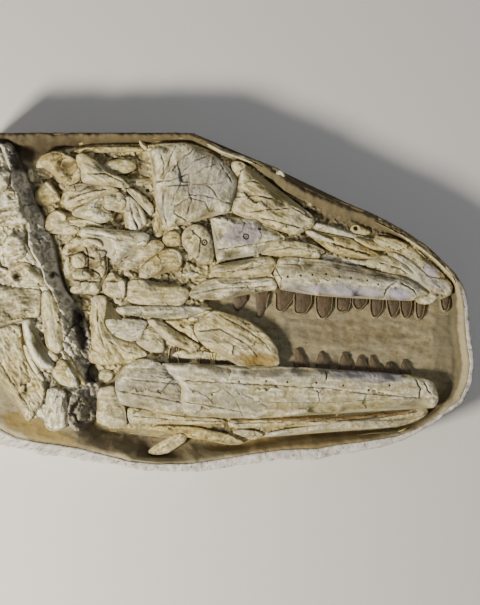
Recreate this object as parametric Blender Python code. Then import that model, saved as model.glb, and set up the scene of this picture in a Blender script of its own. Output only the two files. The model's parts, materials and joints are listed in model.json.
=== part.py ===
"""Fossil mosasaur skull, lying on its side in relief on a slab of matrix in a plaster jacket.

The slab lies flat, its bone face up. The origin is on the underside, at the middle of the
slab: +X runs towards the snout, +Y from the lower jaw to the skull roof, +Z out of the face.
Outlines are given in centimetres; the bones stand on the prepared floor of the matrix or, on
the left, on the higher block that holds the neck and shoulder bones.
"""

import math
from typing import NamedTuple

import bpy
import bmesh
from mathutils import Vector
from mathutils.geometry import delaunay_2d_cdt

# Driving dimensions, in centimetres
CM = 0.01
JACKET_FLOOR = 1.5
FLOOR_Z = 9.0
PLATEAU_Z = 14.0
RIM_Z = 14.4
RIM_ROUND = 0.6
JACKET_TOP = 13.9
JACKET_HEEL = 1.2
CLEARANCE = 0.03
BONE_GAP = 0.1
WALL_STEP = 2.6
CLIFF_STEP = 2.0
BLEND_POWER = 1.8

# Bone surfaces, in centimetres
EDGE_SHARE = 0.55
ROUND_REACH = 1.3
RING_INSET = 0.5
FIELD_STEP = 3.4
SLIVER = 0.3
CORNER_TOLERANCE = 0.05
TOOTH_RISE = 1.4

# Colours as seen on the specimen, sRGB
CREAM = (0.73, 0.68, 0.54)
IVORY = (0.78, 0.74, 0.62)
OCHRE = (0.62, 0.52, 0.32)
TAN = (0.50, 0.43, 0.29)
PLASTER = (0.83, 0.82, 0.78)


class Bone(NamedTuple):
    """One bone: its crown above what it lies on, its outline seen from above, and its lumps."""

    name: str
    crown: float
    colour: tuple
    outline: list
    lumps: list = []
    teeth: list = []
    level: float = FLOOR_Z


# Slab outlines, anticlockwise
SLAB_EDGE = [
    (-65, -33), (-61, -36.6), (-58, -37.3), (-53, -38.1), (-50, -38.9), (-47, -39.9), (-43, -40),
    (-40, -40.3), (-36, -41.4), (-31, -41.8), (-25, -43), (-20, -43.9), (-6, -44), (0, -43.1),
    (8, -41.9), (14, -40.9), (23, -41.1), (30, -39.6), (40, -37.9), (46, -36.1), (50, -34.1),
    (54, -31.9), (58, -28.9), (62.2, -26), (64.4, -21), (65, -17), (64.9, -13.5), (63.9, -8),
    (63.5, -2), (63, 2.2), (62, 4.5), (60, 7.6), (56, 11.7), (52, 15.2), (46, 19.2), (40, 22.5),
    (33, 25.4), (26, 28), (20, 30.7), (14, 34.7), (10, 36.5), (4, 38.6), (0, 40), (-4, 42.2),
    (-8, 44), (-60, 44), (-63.6, 41), (-65, 37),
]
MATRIX_EDGE = [
    (-63.8, -31.2), (-60.5, -32.4), (-58, -32.9), (-54, -35), (-49, -36.2), (-43, -37), (-37, -38),
    (-30, -39.8), (-24, -41.4), (-16, -42), (-8, -41.8), (0, -40.6), (8, -39.2), (16, -38.2),
    (24, -38), (30, -36.9), (38, -35.9), (45, -34.7), (49.6, -33.1), (53.5, -30.9), (57.4, -28),
    (61.2, -25.2), (63, -21), (63.7, -16), (62.9, -10), (62.4, -5), (62.2, 0), (61.2, 3.9),
    (59.4, 7.1), (55.5, 11), (51.4, 14.3), (45.6, 18.2), (39.6, 21.5), (32.6, 24.4), (25.6, 27),
    (19.6, 29.7), (13.6, 33.9), (9.8, 35.8), (3.8, 38), (-0.3, 39.4), (-4.3, 41.6), (-8.2, 43.3),
    (-59.6, 43.3), (-62.6, 40.4), (-63.8, 36.8),
]
FLOOR_EDGE = [
    (-34.4, -31), (-32, -33.2), (-27, -33.6), (-22, -35.4), (-20.8, -39.4), (-18.4, -40.2),
    (-15.4, -40), (-9.2, -36.8), (-3, -37.4), (1, -38), (5, -37.8), (8, -36.6), (12, -35.8),
    (18, -34.9), (24, -34.3), (30, -34.2), (38, -33.9), (45, -33), (49.2, -32), (52.6, -30.1),
    (55.4, -28.2), (58.2, -25), (60, -21.5), (60.9, -17), (60.6, -12), (59.8, -7), (59.6, -2),
    (59.9, 2.6), (59.5, 4.8), (58.3, 6.4), (56.8, 8.1), (54.5, 10.3), (51.4, 13), (49.3, 14.4),
    (47.2, 16), (44.2, 17.4), (41, 18), (38.8, 18.9), (36, 20.2), (33.8, 20.8), (31.4, 19.5),
    (27, 20.8), (24.5, 21.2), (22.8, 23.8), (18, 25.9), (13.6, 27.4), (12.2, 29.6), (9.8, 32),
    (7, 34.3), (6, 35.9), (3.7, 36.9), (1.2, 36.9), (-1.8, 38.3), (-5, 40), (-8.6, 41.5),
    (-22, 41.6), (-24, 41), (-36, 40.7), (-42, 40), (-49, 39.4), (-54, 40), (-56, 40.4),
    (-54.2, 37.6), (-53.2, 35), (-52.4, 32), (-51, 28.5), (-49.6, 25), (-48.4, 22), (-47.4, 19.4),
    (-46, 14), (-44.6, 10), (-43.4, 6), (-42.2, 3), (-40.4, 0), (-38.6, -3), (-37.2, -7),
    (-36.4, -10), (-36, -13), (-36.4, -16), (-36.2, -20), (-34.8, -22), (-34, -24), (-34, -28),
]
PLATEAU_EDGE = [
    (-62.4, -17), (-58.6, -20.6), (-54.6, -25.5), (-52, -30), (-50.4, -31.8), (-48.8, -30.4),
    (-46.9, -28.6), (-46.8, -33.2), (-45, -34), (-42.6, -34), (-40.4, -33), (-39.6, -31),
    (-39.7, -27), (-39.9, -23.4), (-38.4, -22.6), (-38.1, -19.4), (-39.4, -16), (-40.6, -13),
    (-41, -8), (-41.6, -3), (-42.6, 0), (-43.8, 3), (-45.2, 6), (-45.8, 9.4), (-47.8, 11.2),
    (-49.2, 14), (-49.6, 17), (-49.4, 20), (-50.4, 22.4), (-51.6, 25), (-52.2, 27.8), (-54, 30),
    (-54.7, 33), (-55, 36), (-57, 39.6), (-60, 41), (-62, 39), (-62.4, 34),
]

# Teeth, each from its root line round its tip
MAXILLA_TEETH = [
    [(13.9, 4.2), (13.9, -1.8), (14.8, -2.5), (16, -1.6), (17.7, 0.8), (17.8, 4.2)],
    [(18.8, 4.6), (18.8, -1.8), (20, -2.2), (21.2, -1.9), (22.3, 0.2), (22.4, 4.2)],
    [(24.3, 2.9), (24.4, -1.5), (25.2, -3.4), (26.4, -3.2), (27.6, -1.5), (27.9, 3)],
    [(29.8, 2.6), (29.7, -1.4), (30.4, -2), (32, -1.8), (32.6, 0), (32.5, 2.6)],
    [(34.4, 3.8), (33.9, 0), (34.7, -1.3), (35.6, -1.2), (36.8, 0.2), (37, 3.8)],
    [(38.5, 2.4), (38.4, -1.5), (38.9, -3.3), (39.8, -3.2), (40.9, -1.6), (41.2, 2.4)],
    [(42.6, 2), (43, -1.6), (43.6, -3.4), (44.5, -3), (45.4, -1), (45.5, 2)],
    [(46.1, 2), (46.4, -2), (47, -3.6), (47.9, -3.2), (48.5, -1), (48.5, 1.6)],
]
MAXILLA_REAR_TEETH = [
    [(2.8, 3.2), (3, -1.2), (3.8, -2), (4.6, -0.8), (5.8, 0.8), (5.9, 3.4)],
    [(8.3, 3.8), (8.6, -0.4), (8.8, -2.9), (9.6, -3.2), (10.6, -1), (11.6, 3.8)],
]
PREMAXILLA_TEETH = [
    [(50.2, 0.6), (50.2, -3), (50.6, -4.4), (51.4, -4), (51.9, -2), (51.9, 0.6)],
    [(56.6, 2.4), (56.9, -0.9), (57.4, -1.9), (58.2, -1.4), (58.6, 0.4), (58.4, 2.4)],
]
DENTARY_TEETH = [
    [(-14.4, -16.4), (-14, -12.8), (-13.4, -11.7), (-12.6, -12.4), (-12.2, -16.6)],
    [(-11.5, -16.8), (-11.6, -12.6), (-11.2, -11.3), (-10.1, -12.3), (-9.3, -14), (-9.2, -17)],
    [(-6.2, -17.4), (-6, -14), (-5.2, -12.3), (-4.4, -12.6), (-3.8, -14), (-3.9, -17.4)],
    [(-2, -17.8), (-2, -14.2), (-1.2, -12.9), (-0.4, -12.8), (0.9, -14.2), (1.1, -17.8)],
    [(18.4, -18), (18.6, -14.8), (18.8, -12.6), (19.8, -13), (21.2, -15.4), (22.6, -18)],
    [(24, -18.2), (24.4, -14.6), (25.1, -12.7), (26, -13.2), (27.1, -15.6), (27.4, -19)],
    [(30, -19), (30.3, -15.4), (31, -13.1), (31.8, -13.6), (33, -15.8), (33.4, -19.2)],
    [(34.3, -19.4), (34.6, -16), (35.3, -14), (36.1, -14.4), (37.2, -16.4), (37.6, -19.4)],
    [(38.1, -19.4), (38.1, -15.8), (38.5, -13.9), (39.3, -14.6), (40.6, -16.8), (41, -19.6)],
    [(41.8, -20), (42, -17.2), (42.6, -15.7), (43.5, -16.2), (44.7, -17.8), (45.2, -20.4)],
    [(45.9, -20), (46.2, -16.8), (46.7, -15.1), (47.4, -15.6), (48.3, -17.2), (48.8, -20)],
]

# Bones of the skull, the ones that lie over their neighbours first
SKULL_BONES = [
    Bone("dentary", 4.2, IVORY, [
        (-19.6, -14.5), (-15.5, -15.1), (-10, -16), (-4, -16.6), (4, -17.1), (17, -17.1),
        (24.3, -17.3), (26.2, -18), (31, -18.1), (37, -18.5), (40.5, -18.3), (42, -19.1),
        (44, -19.6), (46, -19.1), (48, -18.9), (50, -19.9), (52.8, -20.1), (54.3, -21),
        (55, -22.6), (55.6, -24.4), (55.5, -26), (54.8, -27.2), (53.9, -27.5), (53.2, -26.2),
        (51.8, -24.6), (50, -25.6), (46, -26.6), (38, -27.5), (30, -28.4), (22, -28.7),
        (16, -29.6), (8, -30.1), (0, -29.8), (-8, -29.6), (-10.4, -28.9), (-10.7, -26),
        (-10.6, -23), (-11.4, -20.4), (-13, -19.1), (-15, -17), (-16.4, -16)],
        teeth=DENTARY_TEETH),
    Bone("surangular", 4.0, IVORY, [
        (-28.4, -21.2), (-26.3, -17.6), (-25, -16.2), (-23.6, -15.4), (-21.5, -14.8),
        (-19, -14.9), (-15.2, -16.6), (-10.9, -20), (-10, -24), (-10.3, -29.4), (-17, -28.5),
        (-22.5, -27.3), (-26.9, -26.5), (-27.6, -24.6)]),
    Bone("articular", 3.2, CREAM, [
        (-32.6, -22.6), (-30.5, -22), (-28.6, -21.7), (-28.3, -23.4), (-27, -26.6),
        (-25.6, -27.4), (-25.7, -29.5), (-25, -31.9), (-28, -32.3), (-31.5, -32.2),
        (-33.2, -30), (-32.9, -25)]),
    Bone("angular", 2.6, CREAM, [
        (-24.9, -27.3), (-22, -27.9), (-14, -29.5), (-10, -30), (-2, -30.4), (0.5, -30.9),
        (0.2, -31.5), (-9, -31.8), (-20, -31.5), (-24.6, -31.6), (-25.3, -29.5)]),
    Bone("splenial", 2.2, CREAM, [
        (0.9, -31), (3, -30.7), (12, -30.4), (20, -30.1), (32, -30.1), (38, -29.5), (48, -28.3),
        (51.5, -26.6), (53, -27.2), (52.6, -29), (50, -30.2), (44, -30.6), (31.8, -30.8),
        (28, -31.5), (24, -32.1), (15, -32.1), (9, -32.5), (4, -32.8), (1.4, -32.4)]),
    Bone("lower_margin", 2.4, IVORY, [
        (10.6, -34.4), (14, -33.6), (22, -32.5), (28.5, -31.5), (31, -30.9), (36, -31),
        (42, -31), (48, -30.7), (51, -29.9), (53.2, -28.2), (52.6, -29.4), (49.6, -31.2),
        (46, -32.1), (42, -32.6), (33, -33), (31, -33.1), (28.5, -32.6), (22, -33.7),
        (14, -34.6), (11, -35.1)]),
    Bone("jaw_splint", 2.0, CREAM, [
        (2, -33.8), (4, -33.3), (6, -33.4), (9, -33.8), (10.4, -34.6), (9, -35.4), (7, -35.3),
        (4, -34.6)]),
    Bone("prearticular", 2.2, OCHRE, [
        (-19, -33.1), (-18, -32.2), (-10, -32.4), (-6, -32.9), (-2, -33.9), (2, -34.7),
        (3.5, -35.9), (5.5, -36.4), (4, -37), (1, -37), (-3, -36.2), (-8, -35.5), (-9.5, -34.2),
        (-16, -33.7)]),
    Bone("loose_rib", 2.2, CREAM, [
        (-19.8, -38.8), (-17, -36.8), (-15.4, -35.8), (-13, -34.5), (-11, -34.1), (-9.8, -34.8),
        (-9.7, -36), (-12, -37.6), (-14.5, -39.2), (-16.4, -39.6), (-19, -39.6)]),
    Bone("jugal_bar", 3.6, IVORY, [
        (-28.3, -1.6), (-26, -1.2), (-17, -1.3), (-8, -1.3), (-3.4, -1.6), (-3, -2), (-5, -2.6),
        (-8, -3), (-10.2, -4.1), (-13.6, -4.3), (-20.6, -3.4), (-27, -3.2)]),
    Bone("coronoid_plate", 2.8, CREAM, [
        (-33.8, 1.7), (-32.4, 1.6), (-30.9, 1.6), (-30.4, 0.4), (-30.6, -1.8), (-31.2, -4.6),
        (-30.7, -7), (-29, -8.9), (-27.2, -10), (-23, -11.2), (-21.2, -12.4), (-19.8, -13.4),
        (-20.2, -14.2), (-24, -15), (-26, -15.2), (-28, -16), (-31, -16.3), (-33.5, -16),
        (-35.2, -15.4), (-35, -13), (-34.6, -10), (-34.9, -4), (-34.3, -1)]),
    Bone("transverse_lobe", 2.6, IVORY, [
        (-30.8, -4.4), (-26, -4.3), (-20.6, -4.9), (-19.8, -5.6), (-20.4, -6.6), (-21, -8),
        (-21.8, -9.4), (-23.4, -10.4), (-27.2, -9.4), (-29, -8.2), (-30.7, -6.2)]),
    Bone("ectopterygoid", 3.4, CREAM, [
        (-19.8, -4.6), (-18, -4.4), (-16, -5.6), (-12, -8), (-8, -10.4), (-6.2, -11.3),
        (-6.6, -12.2), (-8.6, -13), (-10.2, -11.6), (-12, -11.2), (-14, -10.8), (-15.6, -9.4),
        (-16.4, -8), (-18.4, -6.4), (-19.6, -5.6)]),
    Bone("palatine", 2.8, CREAM, [
        (-20.8, -7.4), (-19.6, -6.8), (-18.4, -6.6), (-16.2, -8.6), (-15.7, -10.6),
        (-15.4, -12.8), (-17, -13.2), (-19.4, -12.8), (-21.4, -11.6), (-22.8, -10.6)]),
    Bone("pterygoid", 3.6, CREAM, [
        (-3.6, -2.4), (-1.5, -2.3), (1, -3), (4, -4), (6.4, -5), (8.6, -6.4), (10.4, -7.8),
        (12, -9.4), (13.4, -11.2), (13.9, -12.4), (14.2, -14.2), (14.8, -16.2), (12, -16.6),
        (6.4, -16.6), (3.4, -16.4), (2, -14.6), (0.8, -13), (-0.8, -12.2), (-3, -12),
        (-4.4, -11.7), (-6, -10.4), (-7.2, -8.8), (-7.8, -7), (-7.6, -5.8), (-5.8, -4.6),
        (-4.6, -3.4)], lumps=[(9, -15.2, 2.4, -1.2), (4, -8, 2.4, 0.4)]),
    Bone("vomer", 2.0, OCHRE, [
        (-15.8, -4.8), (-13, -4.6), (-9.4, -4.4), (-8, -3.8), (-4.6, -2.4), (-5, -3.8),
        (-7.8, -5.6), (-8.2, -7.6), (-6.8, -9.4), (-6.5, -10.8), (-8, -9.9), (-11, -8.2),
        (-13.4, -6.7)]),
    Bone("maxilla", 4.0, IVORY, [
        (14.2, 11.4), (18, 11.6), (25, 11), (28, 10.5), (32, 9.6), (38.4, 8.1), (46, 6.5),
        (49, 5), (52, 2.9), (53.4, 2.1), (49.9, 1.6), (49.4, 0.5), (46, 0.5), (41.5, 0.9),
        (38.6, 1), (37.2, 2.4), (34.6, 2.6), (33.4, 1.4), (30, 1.3), (28.4, 2.2), (23.8, 1.6),
        (22.4, 3.2), (20.6, 3.8), (16.6, 3.2), (14.8, 3), (14.4, 4.6), (12.8, 7.2), (13.8, 9.4)],
        teeth=MAXILLA_TEETH),
    Bone("maxilla_rear", 3.4, IVORY, [
        (-9, 2.4), (-7, 4.3), (-4.5, 5.5), (-1.5, 6.2), (8, 5.8), (12.3, 6.3), (13.3, 5.2),
        (14, 4), (13.4, 3.2), (6, 2.6), (2.4, 1.9), (-0.8, 0.8), (-7.5, 0.9), (-9, 1.6)],
        teeth=MAXILLA_REAR_TEETH),
    Bone("jugal", 3.2, CREAM, [
        (-3.4, 6.8), (-3.3, 8.4), (-2, 9.8), (1, 9), (4.5, 9.5), (7, 10.4), (9, 11.7),
        (12.5, 11.6), (13.6, 10.2), (13.2, 9), (11.8, 7), (6, 6.1), (0, 6.4)]),
    Bone("lacrimal", 3.8, CREAM, [
        (9.6, 14.2), (14, 16), (20, 15.6), (24, 14.5), (26.5, 13), (25.4, 12.8), (25.1, 11.4),
        (18, 12.1), (13, 12.2), (9.6, 12.4)]),
    Bone("prefrontal", 4.0, IVORY, [
        (-3.8, 21.6), (-2.4, 22), (0, 22.2), (4, 21.6), (8, 21.8), (8.8, 20.8), (12.4, 19),
        (16, 16.9), (19.6, 16.7), (16, 16.3), (10.6, 14.7), (9, 14.3), (8.6, 13), (9, 12.2),
        (5.6, 12.6), (0, 11.3), (-1.8, 10.4), (-2, 13), (-1.4, 16), (-1.6, 19)]),
    Bone("nasal_roof", 4.2, CREAM, [
        (2.6, 27), (3.8, 31), (2.3, 34), (1.9, 35.4), (2.2, 36.5), (3.6, 36.7), (5.5, 35.9),
        (6.2, 34.4), (7.4, 32.3), (8.3, 32), (9.5, 31), (12, 28.3), (12.9, 26.9), (18, 25),
        (22.4, 23), (23.6, 21.4), (23.3, 19.6), (21.4, 19.2), (20.4, 18.2), (18.6, 17.4),
        (13, 19), (9.2, 21), (8.4, 22), (6, 22.2), (4, 22.5), (2.6, 23.1), (1.9, 24.5)]),
    Bone("nasal_bar", 3.2, IVORY, [
        (22.2, 20.3), (24.4, 20.6), (27, 19.9), (33, 17.8), (38.4, 16.4), (36, 16.2),
        (30, 17.5), (24, 18.8)]),
    Bone("narial_plate", 3.2, OCHRE, [
        (20.8, 18.4), (22.4, 18.7), (24.6, 17.6), (28.8, 16.9), (31.4, 16.8), (33.6, 16.2),
        (35.4, 14.9), (40, 12.4), (41, 11.4), (38, 11.2), (33, 11.7), (28, 13), (26, 14.4),
        (23.6, 16.3)]),
    Bone("septomaxilla", 3.2, CREAM, [
        (37, 10.8), (38.6, 11.3), (42.6, 12.2), (45, 10.9), (47.6, 9.2), (49.4, 7.4),
        (51.4, 4.8), (53.2, 2.8), (49, 5.2), (46, 6.7), (40, 8.2), (37, 9.2)]),
    Bone("premaxilla", 3.4, IVORY, [
        (42.2, 12.7), (44, 13), (47, 11.5), (49.5, 9.8), (51.5, 7.8), (53, 6.4), (55.4, 6.1),
        (58, 5.6), (59.2, 4.6), (59.3, 3), (58.6, 1.6), (55.4, 1), (54.6, 0), (53, -0.6),
        (50.4, -0.4), (49.8, 1), (53.8, 1.7), (53.2, 3.4), (50, 7), (48.5, 8.8), (46, 10.6)],
        teeth=PREMAXILLA_TEETH),
    Bone("snout_plate", 3.0, CREAM, [
        (39, 16.8), (41, 17), (44, 16.5), (47, 15.3), (49.5, 13.7), (51.4, 11.4), (54, 9.3),
        (56.5, 7.7), (57.8, 6), (56, 6.2), (53, 6.7), (51.8, 8.2), (50, 10), (47.5, 11.8),
        (44, 13.3), (41, 14.4), (39, 15.8)]),
    Bone("frontal", 4.6, IVORY, [
        (-19.3, 39.2), (-17.5, 41), (-14, 40.2), (-12, 41.2), (-10, 41.3), (-8.5, 40.6),
        (-6.6, 39.2), (-3, 38.3), (-1.8, 37), (0.5, 35.8), (2, 33.9), (3.6, 31.2), (2.3, 28),
        (1.7, 26), (1.8, 24), (0.5, 23), (-2, 23.2), (-4.4, 23.3), (-5.8, 22.2), (-8, 21.4),
        (-13, 20), (-15, 19), (-16, 21), (-18, 27), (-17.8, 30), (-18.4, 35)]),
    Bone("orbit_plate", 3.4, CREAM, [
        (-11, 17.6), (-9.6, 19.4), (-7.6, 20.4), (-5.8, 19.9), (-4.2, 18.4), (-3.1, 16.6),
        (-2.6, 14), (-2.7, 10.8), (-3.4, 9.8), (-6, 10), (-8, 11.6), (-9.6, 13.4), (-10.8, 15)]),
    Bone("postorbital_bar", 3.4, OCHRE, [
        (-15.6, 17.6), (-13.6, 18.6), (-12.2, 18.4), (-11.3, 17.2), (-11, 15.6), (-11.6, 14.6),
        (-13.4, 14.5), (-15, 14.8), (-16, 16)]),
    Bone("temporal_bar", 4.5, IVORY, [
        (-37.6, 18.6), (-36, 19.4), (-33, 19.1), (-25, 17.9), (-20.4, 17.9), (-19.3, 17.4),
        (-19.5, 15.8), (-20.2, 14.9), (-21.6, 14.8), (-25.2, 13), (-27.8, 10.2), (-28.6, 10.8),
        (-28.2, 12.2), (-29.3, 12.2), (-29.6, 15.6), (-31, 16.4), (-37.6, 17.1)]),
    Bone("squamosal", 4.2, CREAM, [
        (-38.6, 37.8), (-37, 38.8), (-35, 37.8), (-33, 36.5), (-30.5, 33.6), (-26.5, 32.2),
        (-25.2, 30.6), (-24.3, 29.9), (-26.2, 29.6), (-31, 30.6), (-36.8, 31), (-37.2, 34.8)]),
    Bone("quadrate", 3.8, OCHRE, [
        (-48, 37.2), (-46.6, 38.3), (-44.6, 39), (-42.4, 38.8), (-40, 38), (-38, 36.5),
        (-36.9, 34.6), (-36.9, 32.6), (-38, 31.2), (-40.6, 30.2), (-42, 31), (-42.3, 32.5),
        (-43.6, 33.6), (-46, 35.3), (-47.3, 35.6)],
        lumps=[(-41.4, 35.6, 2.4, -1.6), (-39.8, 32.4, 1.5, -1.2)]),
    Bone("parietal_ramus", 4.2, CREAM, [
        (-42.2, 25.9), (-41.7, 28.2), (-40.8, 29.4), (-39, 30.4), (-36.8, 30.7), (-31, 30.3),
        (-28.6, 29.8), (-27, 29), (-28.8, 28.6), (-31, 28.8), (-33.4, 27), (-38, 25),
        (-40.6, 24.2), (-41.4, 25.1)]),
    Bone("prootic", 3.4, IVORY, [
        (-39.6, 22.6), (-38.8, 24), (-35, 25.8), (-31.9, 27.5), (-31.2, 27), (-31.5, 24.2),
        (-30.2, 23.5), (-29, 22.8), (-29.1, 21.8), (-30.2, 21), (-32, 20.5), (-33.6, 21),
        (-36.4, 22.2)]),
    Bone("parietal_plate", 3.6, CREAM, [
        (-31, 28.5), (-28.6, 28.3), (-26.8, 28.6), (-25.8, 27.4), (-25.4, 25.6), (-25.8, 24.3),
        (-27.6, 23.8), (-31.2, 24.2)]),
    Bone("arch_outer", 3.4, CREAM, [
        (-25.6, 29.3), (-24, 29.4), (-22, 28.4), (-18.4, 25.2), (-18.1, 23.8), (-18.8, 22.4),
        (-19.6, 22.9), (-20, 24.4), (-21.4, 26), (-23.4, 27.4)]),
    Bone("arch_inner", 3.2, IVORY, [
        (-26, 27), (-25.2, 27.8), (-23.4, 26.7), (-21.8, 25), (-20.9, 23.4), (-19.9, 20.4),
        (-20.9, 20), (-21.6, 19.2), (-22.3, 18), (-23.8, 18.1), (-25.7, 19.2), (-25.6, 21.5),
        (-25.8, 24)], lumps=[(-23.6, 22, 1.0, 0.3)]),
    Bone("parietal_ledge", 2.8, OCHRE, [
        (-40.5, 39), (-36, 40.2), (-28, 40.3), (-22, 40.2), (-20.2, 39.8), (-20.3, 39.2),
        (-30, 39.1), (-38, 38.9)]),
    Bone("parietal_block", 2.8, CREAM, [
        (-31.9, 35.2), (-30.4, 36.4), (-28, 37.1), (-25.4, 37), (-23.6, 36.4), (-22.6, 35.2),
        (-24, 34), (-26.4, 33.4), (-29, 33.3), (-31, 34)]),
    Bone("postorbital", 3.4, CREAM, [
        (-27.4, 9), (-26, 8.1), (-24, 8.6), (-20.6, 10.6), (-18.4, 12), (-15.4, 14.2),
        (-16, 15.6), (-17.8, 16.2), (-19.2, 16), (-20, 14.4), (-21.6, 14.5), (-24.8, 11.8)]),
    Bone("braincase", 3.2, CREAM, [
        (-41.9, 13.8), (-40, 16.2), (-38.5, 17), (-34.5, 16.7), (-31.2, 15.4), (-30.4, 13.2),
        (-30.3, 9.8), (-30.4, 7.4), (-31.6, 5.8), (-32, 3.2), (-33, 2.1), (-36, 2.4),
        (-38.5, 2), (-40.2, 2.6), (-40.6, 4.4), (-41.8, 7.4), (-42, 9.4)],
        lumps=[(-39.2, 15.2, 1.4, 0.8), (-34.4, 15.2, 1.6, 0.8), (-37.6, 10.7, 1.5, 1.2),
               (-36.8, 7.1, 1.4, 0.9), (-40.8, 9.2, 1.0, 0.6), (-37.4, 3.9, 1.3, 0.8),
               (-33.5, 4.0, 1.1, 0.9), (-31.4, 8.8, 0.8, 0.9), (-32.9, 12.5, 1.1, 0.9),
               (-34.2, 9.8, 1.2, -1.4), (-38.4, 13.2, 0.9, -0.9), (-35.6, 5.4, 0.8, -0.8)]),
    Bone("exoccipital", 3.0, CREAM, [
        (-31.5, 5.4), (-30.2, 6.6), (-29.2, 8), (-28.4, 7.2), (-28, 5.4), (-26.6, 6),
        (-25.6, 5.6), (-25.4, 3.4), (-25.7, 1.2), (-28.4, 1.2), (-30.6, 1.8), (-31.6, 3.2)]),
    Bone("basisphenoid", 2.8, OCHRE, [
        (-22.2, 6.4), (-21.6, 9), (-18.4, 11.6), (-15.4, 13.8), (-13, 14), (-11.4, 13.2),
        (-10.6, 11.6), (-11, 9.8), (-11.6, 8.6), (-13.4, 9), (-15, 9.8), (-16.6, 8),
        (-19.6, 6.1)]),
    Bone("pterygoid_root", 2.8, CREAM, [
        (-25.3, 4.8), (-24, 5.8), (-22, 5.9), (-20.4, 5.4), (-19.2, 4), (-15.5, 3.9),
        (-11, 4), (-9.6, 3.4), (-8.9, 2.2), (-9.4, 1), (-10.6, -0.4), (-12, -1), (-19.6, -0.8),
        (-25, 0)]),
    Bone("atlas", 2.6, TAN, [
        (-49, 28.6), (-47.6, 29.6), (-46.4, 31.2), (-45.6, 31.4), (-44.4, 30), (-42.4, 27),
        (-43, 26.1), (-45, 25.6), (-47, 24.9), (-48.6, 25.6), (-49.2, 27)]),
    Bone("axis_arch", 2.8, CREAM, [
        (-46.8, 19.6), (-46.4, 21.4), (-44.2, 23.9), (-42.2, 23.7), (-40.6, 22), (-38.6, 21.7),
        (-34.6, 21.2), (-33, 20.2), (-33.4, 19.6), (-36.6, 19.8), (-38, 19.6), (-38, 17.8),
        (-40.6, 17.3), (-44.6, 18.2), (-46.2, 18.1)],
        lumps=[(-44.6, 20.4, 1.2, 0.6), (-42.4, 22.4, 1.0, 0.6), (-40.4, 18.8, 1.1, 0.5)]),
]

# Bones of the neck and shoulder, on the higher block
NECK_BONES = [
    Bone("neck_vertebra_a", 2.6, IVORY, [
        (-61.4, 34.5), (-58.5, 33.8), (-55.4, 33.6), (-55.3, 32.8), (-56.2, 32.2),
        (-55.5, 30.5), (-56.3, 29.2), (-57.5, 28.6), (-61.4, 28)], level=PLATEAU_Z),
    Bone("neck_vertebra_b", 2.8, IVORY, [
        (-61.4, 25.2), (-58, 25.2), (-57.4, 27.6), (-56.2, 29), (-54.9, 29.2), (-53, 27.4),
        (-52.7, 26), (-52.4, 24), (-51.4, 22), (-50.3, 20.4), (-54, 19.8), (-61.4, 19.8)],
        lumps=[(-55, 27.2, 1.6, -0.9)], level=PLATEAU_Z),
    Bone("neck_vertebra_c", 3.0, IVORY, [
        (-57, 15.5), (-55.5, 17.3), (-53.5, 17.5), (-52, 16.2), (-50.8, 13), (-51.8, 11.4),
        (-54, 10.8), (-56, 11.4), (-57, 13)], level=PLATEAU_Z),
    Bone("neck_vertebra_d", 2.4, CREAM, [
        (-56.6, 6.4), (-55.2, 9), (-53.8, 10), (-51.8, 10.2), (-50.2, 9.8), (-49.6, 8),
        (-48, 7.2), (-46.8, 6.4), (-46.3, 5), (-46.6, 4), (-51.8, 4.3)],
        lumps=[(-53.4, 6.6, 1.6, -1.0)], level=PLATEAU_Z),
    Bone("long_rib", 2.8, IVORY, [
        (-52, -4.8), (-50.8, -4.3), (-49.7, -4.4), (-48.9, -9), (-48.3, -11.5), (-47.2, -13.6),
        (-45.5, -15.2), (-43.8, -16.2), (-44.2, -17.4), (-47, -17.3), (-48.2, -16.3),
        (-49.6, -14.2), (-50.8, -11.4), (-51.6, -8.6)], level=PLATEAU_Z),
    Bone("scapula", 1.8, CREAM, [
        (-61.4, 4.2), (-56, 3.9), (-49, 3.4), (-47.3, 3), (-47.3, -2.4), (-47.8, -4),
        (-49.6, -4.1), (-53.9, -5.2), (-58, -6.2), (-61.4, -7.4)],
        lumps=[(-52.3, 0.4, 0.9, 0.8), (-52.8, -3, 0.9, 0.8)], level=PLATEAU_Z),
    Bone("coracoid", 1.8, CREAM, [
        (-61.4, -8.2), (-58, -6.8), (-54.5, -5.8), (-52.5, -6), (-51.9, -12), (-49.1, -17.6),
        (-46.6, -19), (-46.1, -23), (-46.8, -26), (-48.5, -28.5), (-50.3, -31), (-51.3, -30),
        (-54.5, -24.6), (-58.5, -19.8), (-61.4, -16.8)], level=PLATEAU_Z),
    Bone("humerus", 2.0, CREAM, [
        (-47, 2.8), (-45.4, 3), (-44.2, 1.8), (-43.2, 0), (-42.3, -3), (-41.8, -6),
        (-41.5, -12), (-42.8, -13.4), (-44.5, -12.5), (-46, -11.2), (-45.9, -8),
        (-47, -3.5)], level=PLATEAU_Z),
    Bone("rib_fragment", 1.6, CREAM, [
        (-48.2, -10.2), (-46.2, -11.4), (-43.5, -13.4), (-42.6, -14.4), (-43.6, -15.5),
        (-45, -15), (-46.8, -13.6)], level=PLATEAU_Z),
    Bone("cliff_plate", 1.6, TAN, [
        (-42.6, -14.8), (-41, -15), (-39.9, -17), (-38.8, -19.4), (-38.7, -21.6), (-41.5, -21.6),
        (-43, -20.4), (-44.6, -18.2), (-43.6, -16.6)], level=PLATEAU_Z),
    Bone("limb_end", 2.4, IVORY, [
        (-45.7, -22.6), (-44, -22.1), (-42, -22.6), (-40.6, -23.6), (-41.3, -27.4),
        (-40.3, -29), (-40.2, -31), (-41, -32.6), (-43, -33.2), (-45, -33.2), (-46.1, -32),
        (-46.2, -29.5), (-45.6, -25)], level=PLATEAU_Z),
]


def clear_scene():
    """Removes whatever the scene held."""
    for old in list(bpy.data.objects):
        bpy.data.objects.remove(old)


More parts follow.
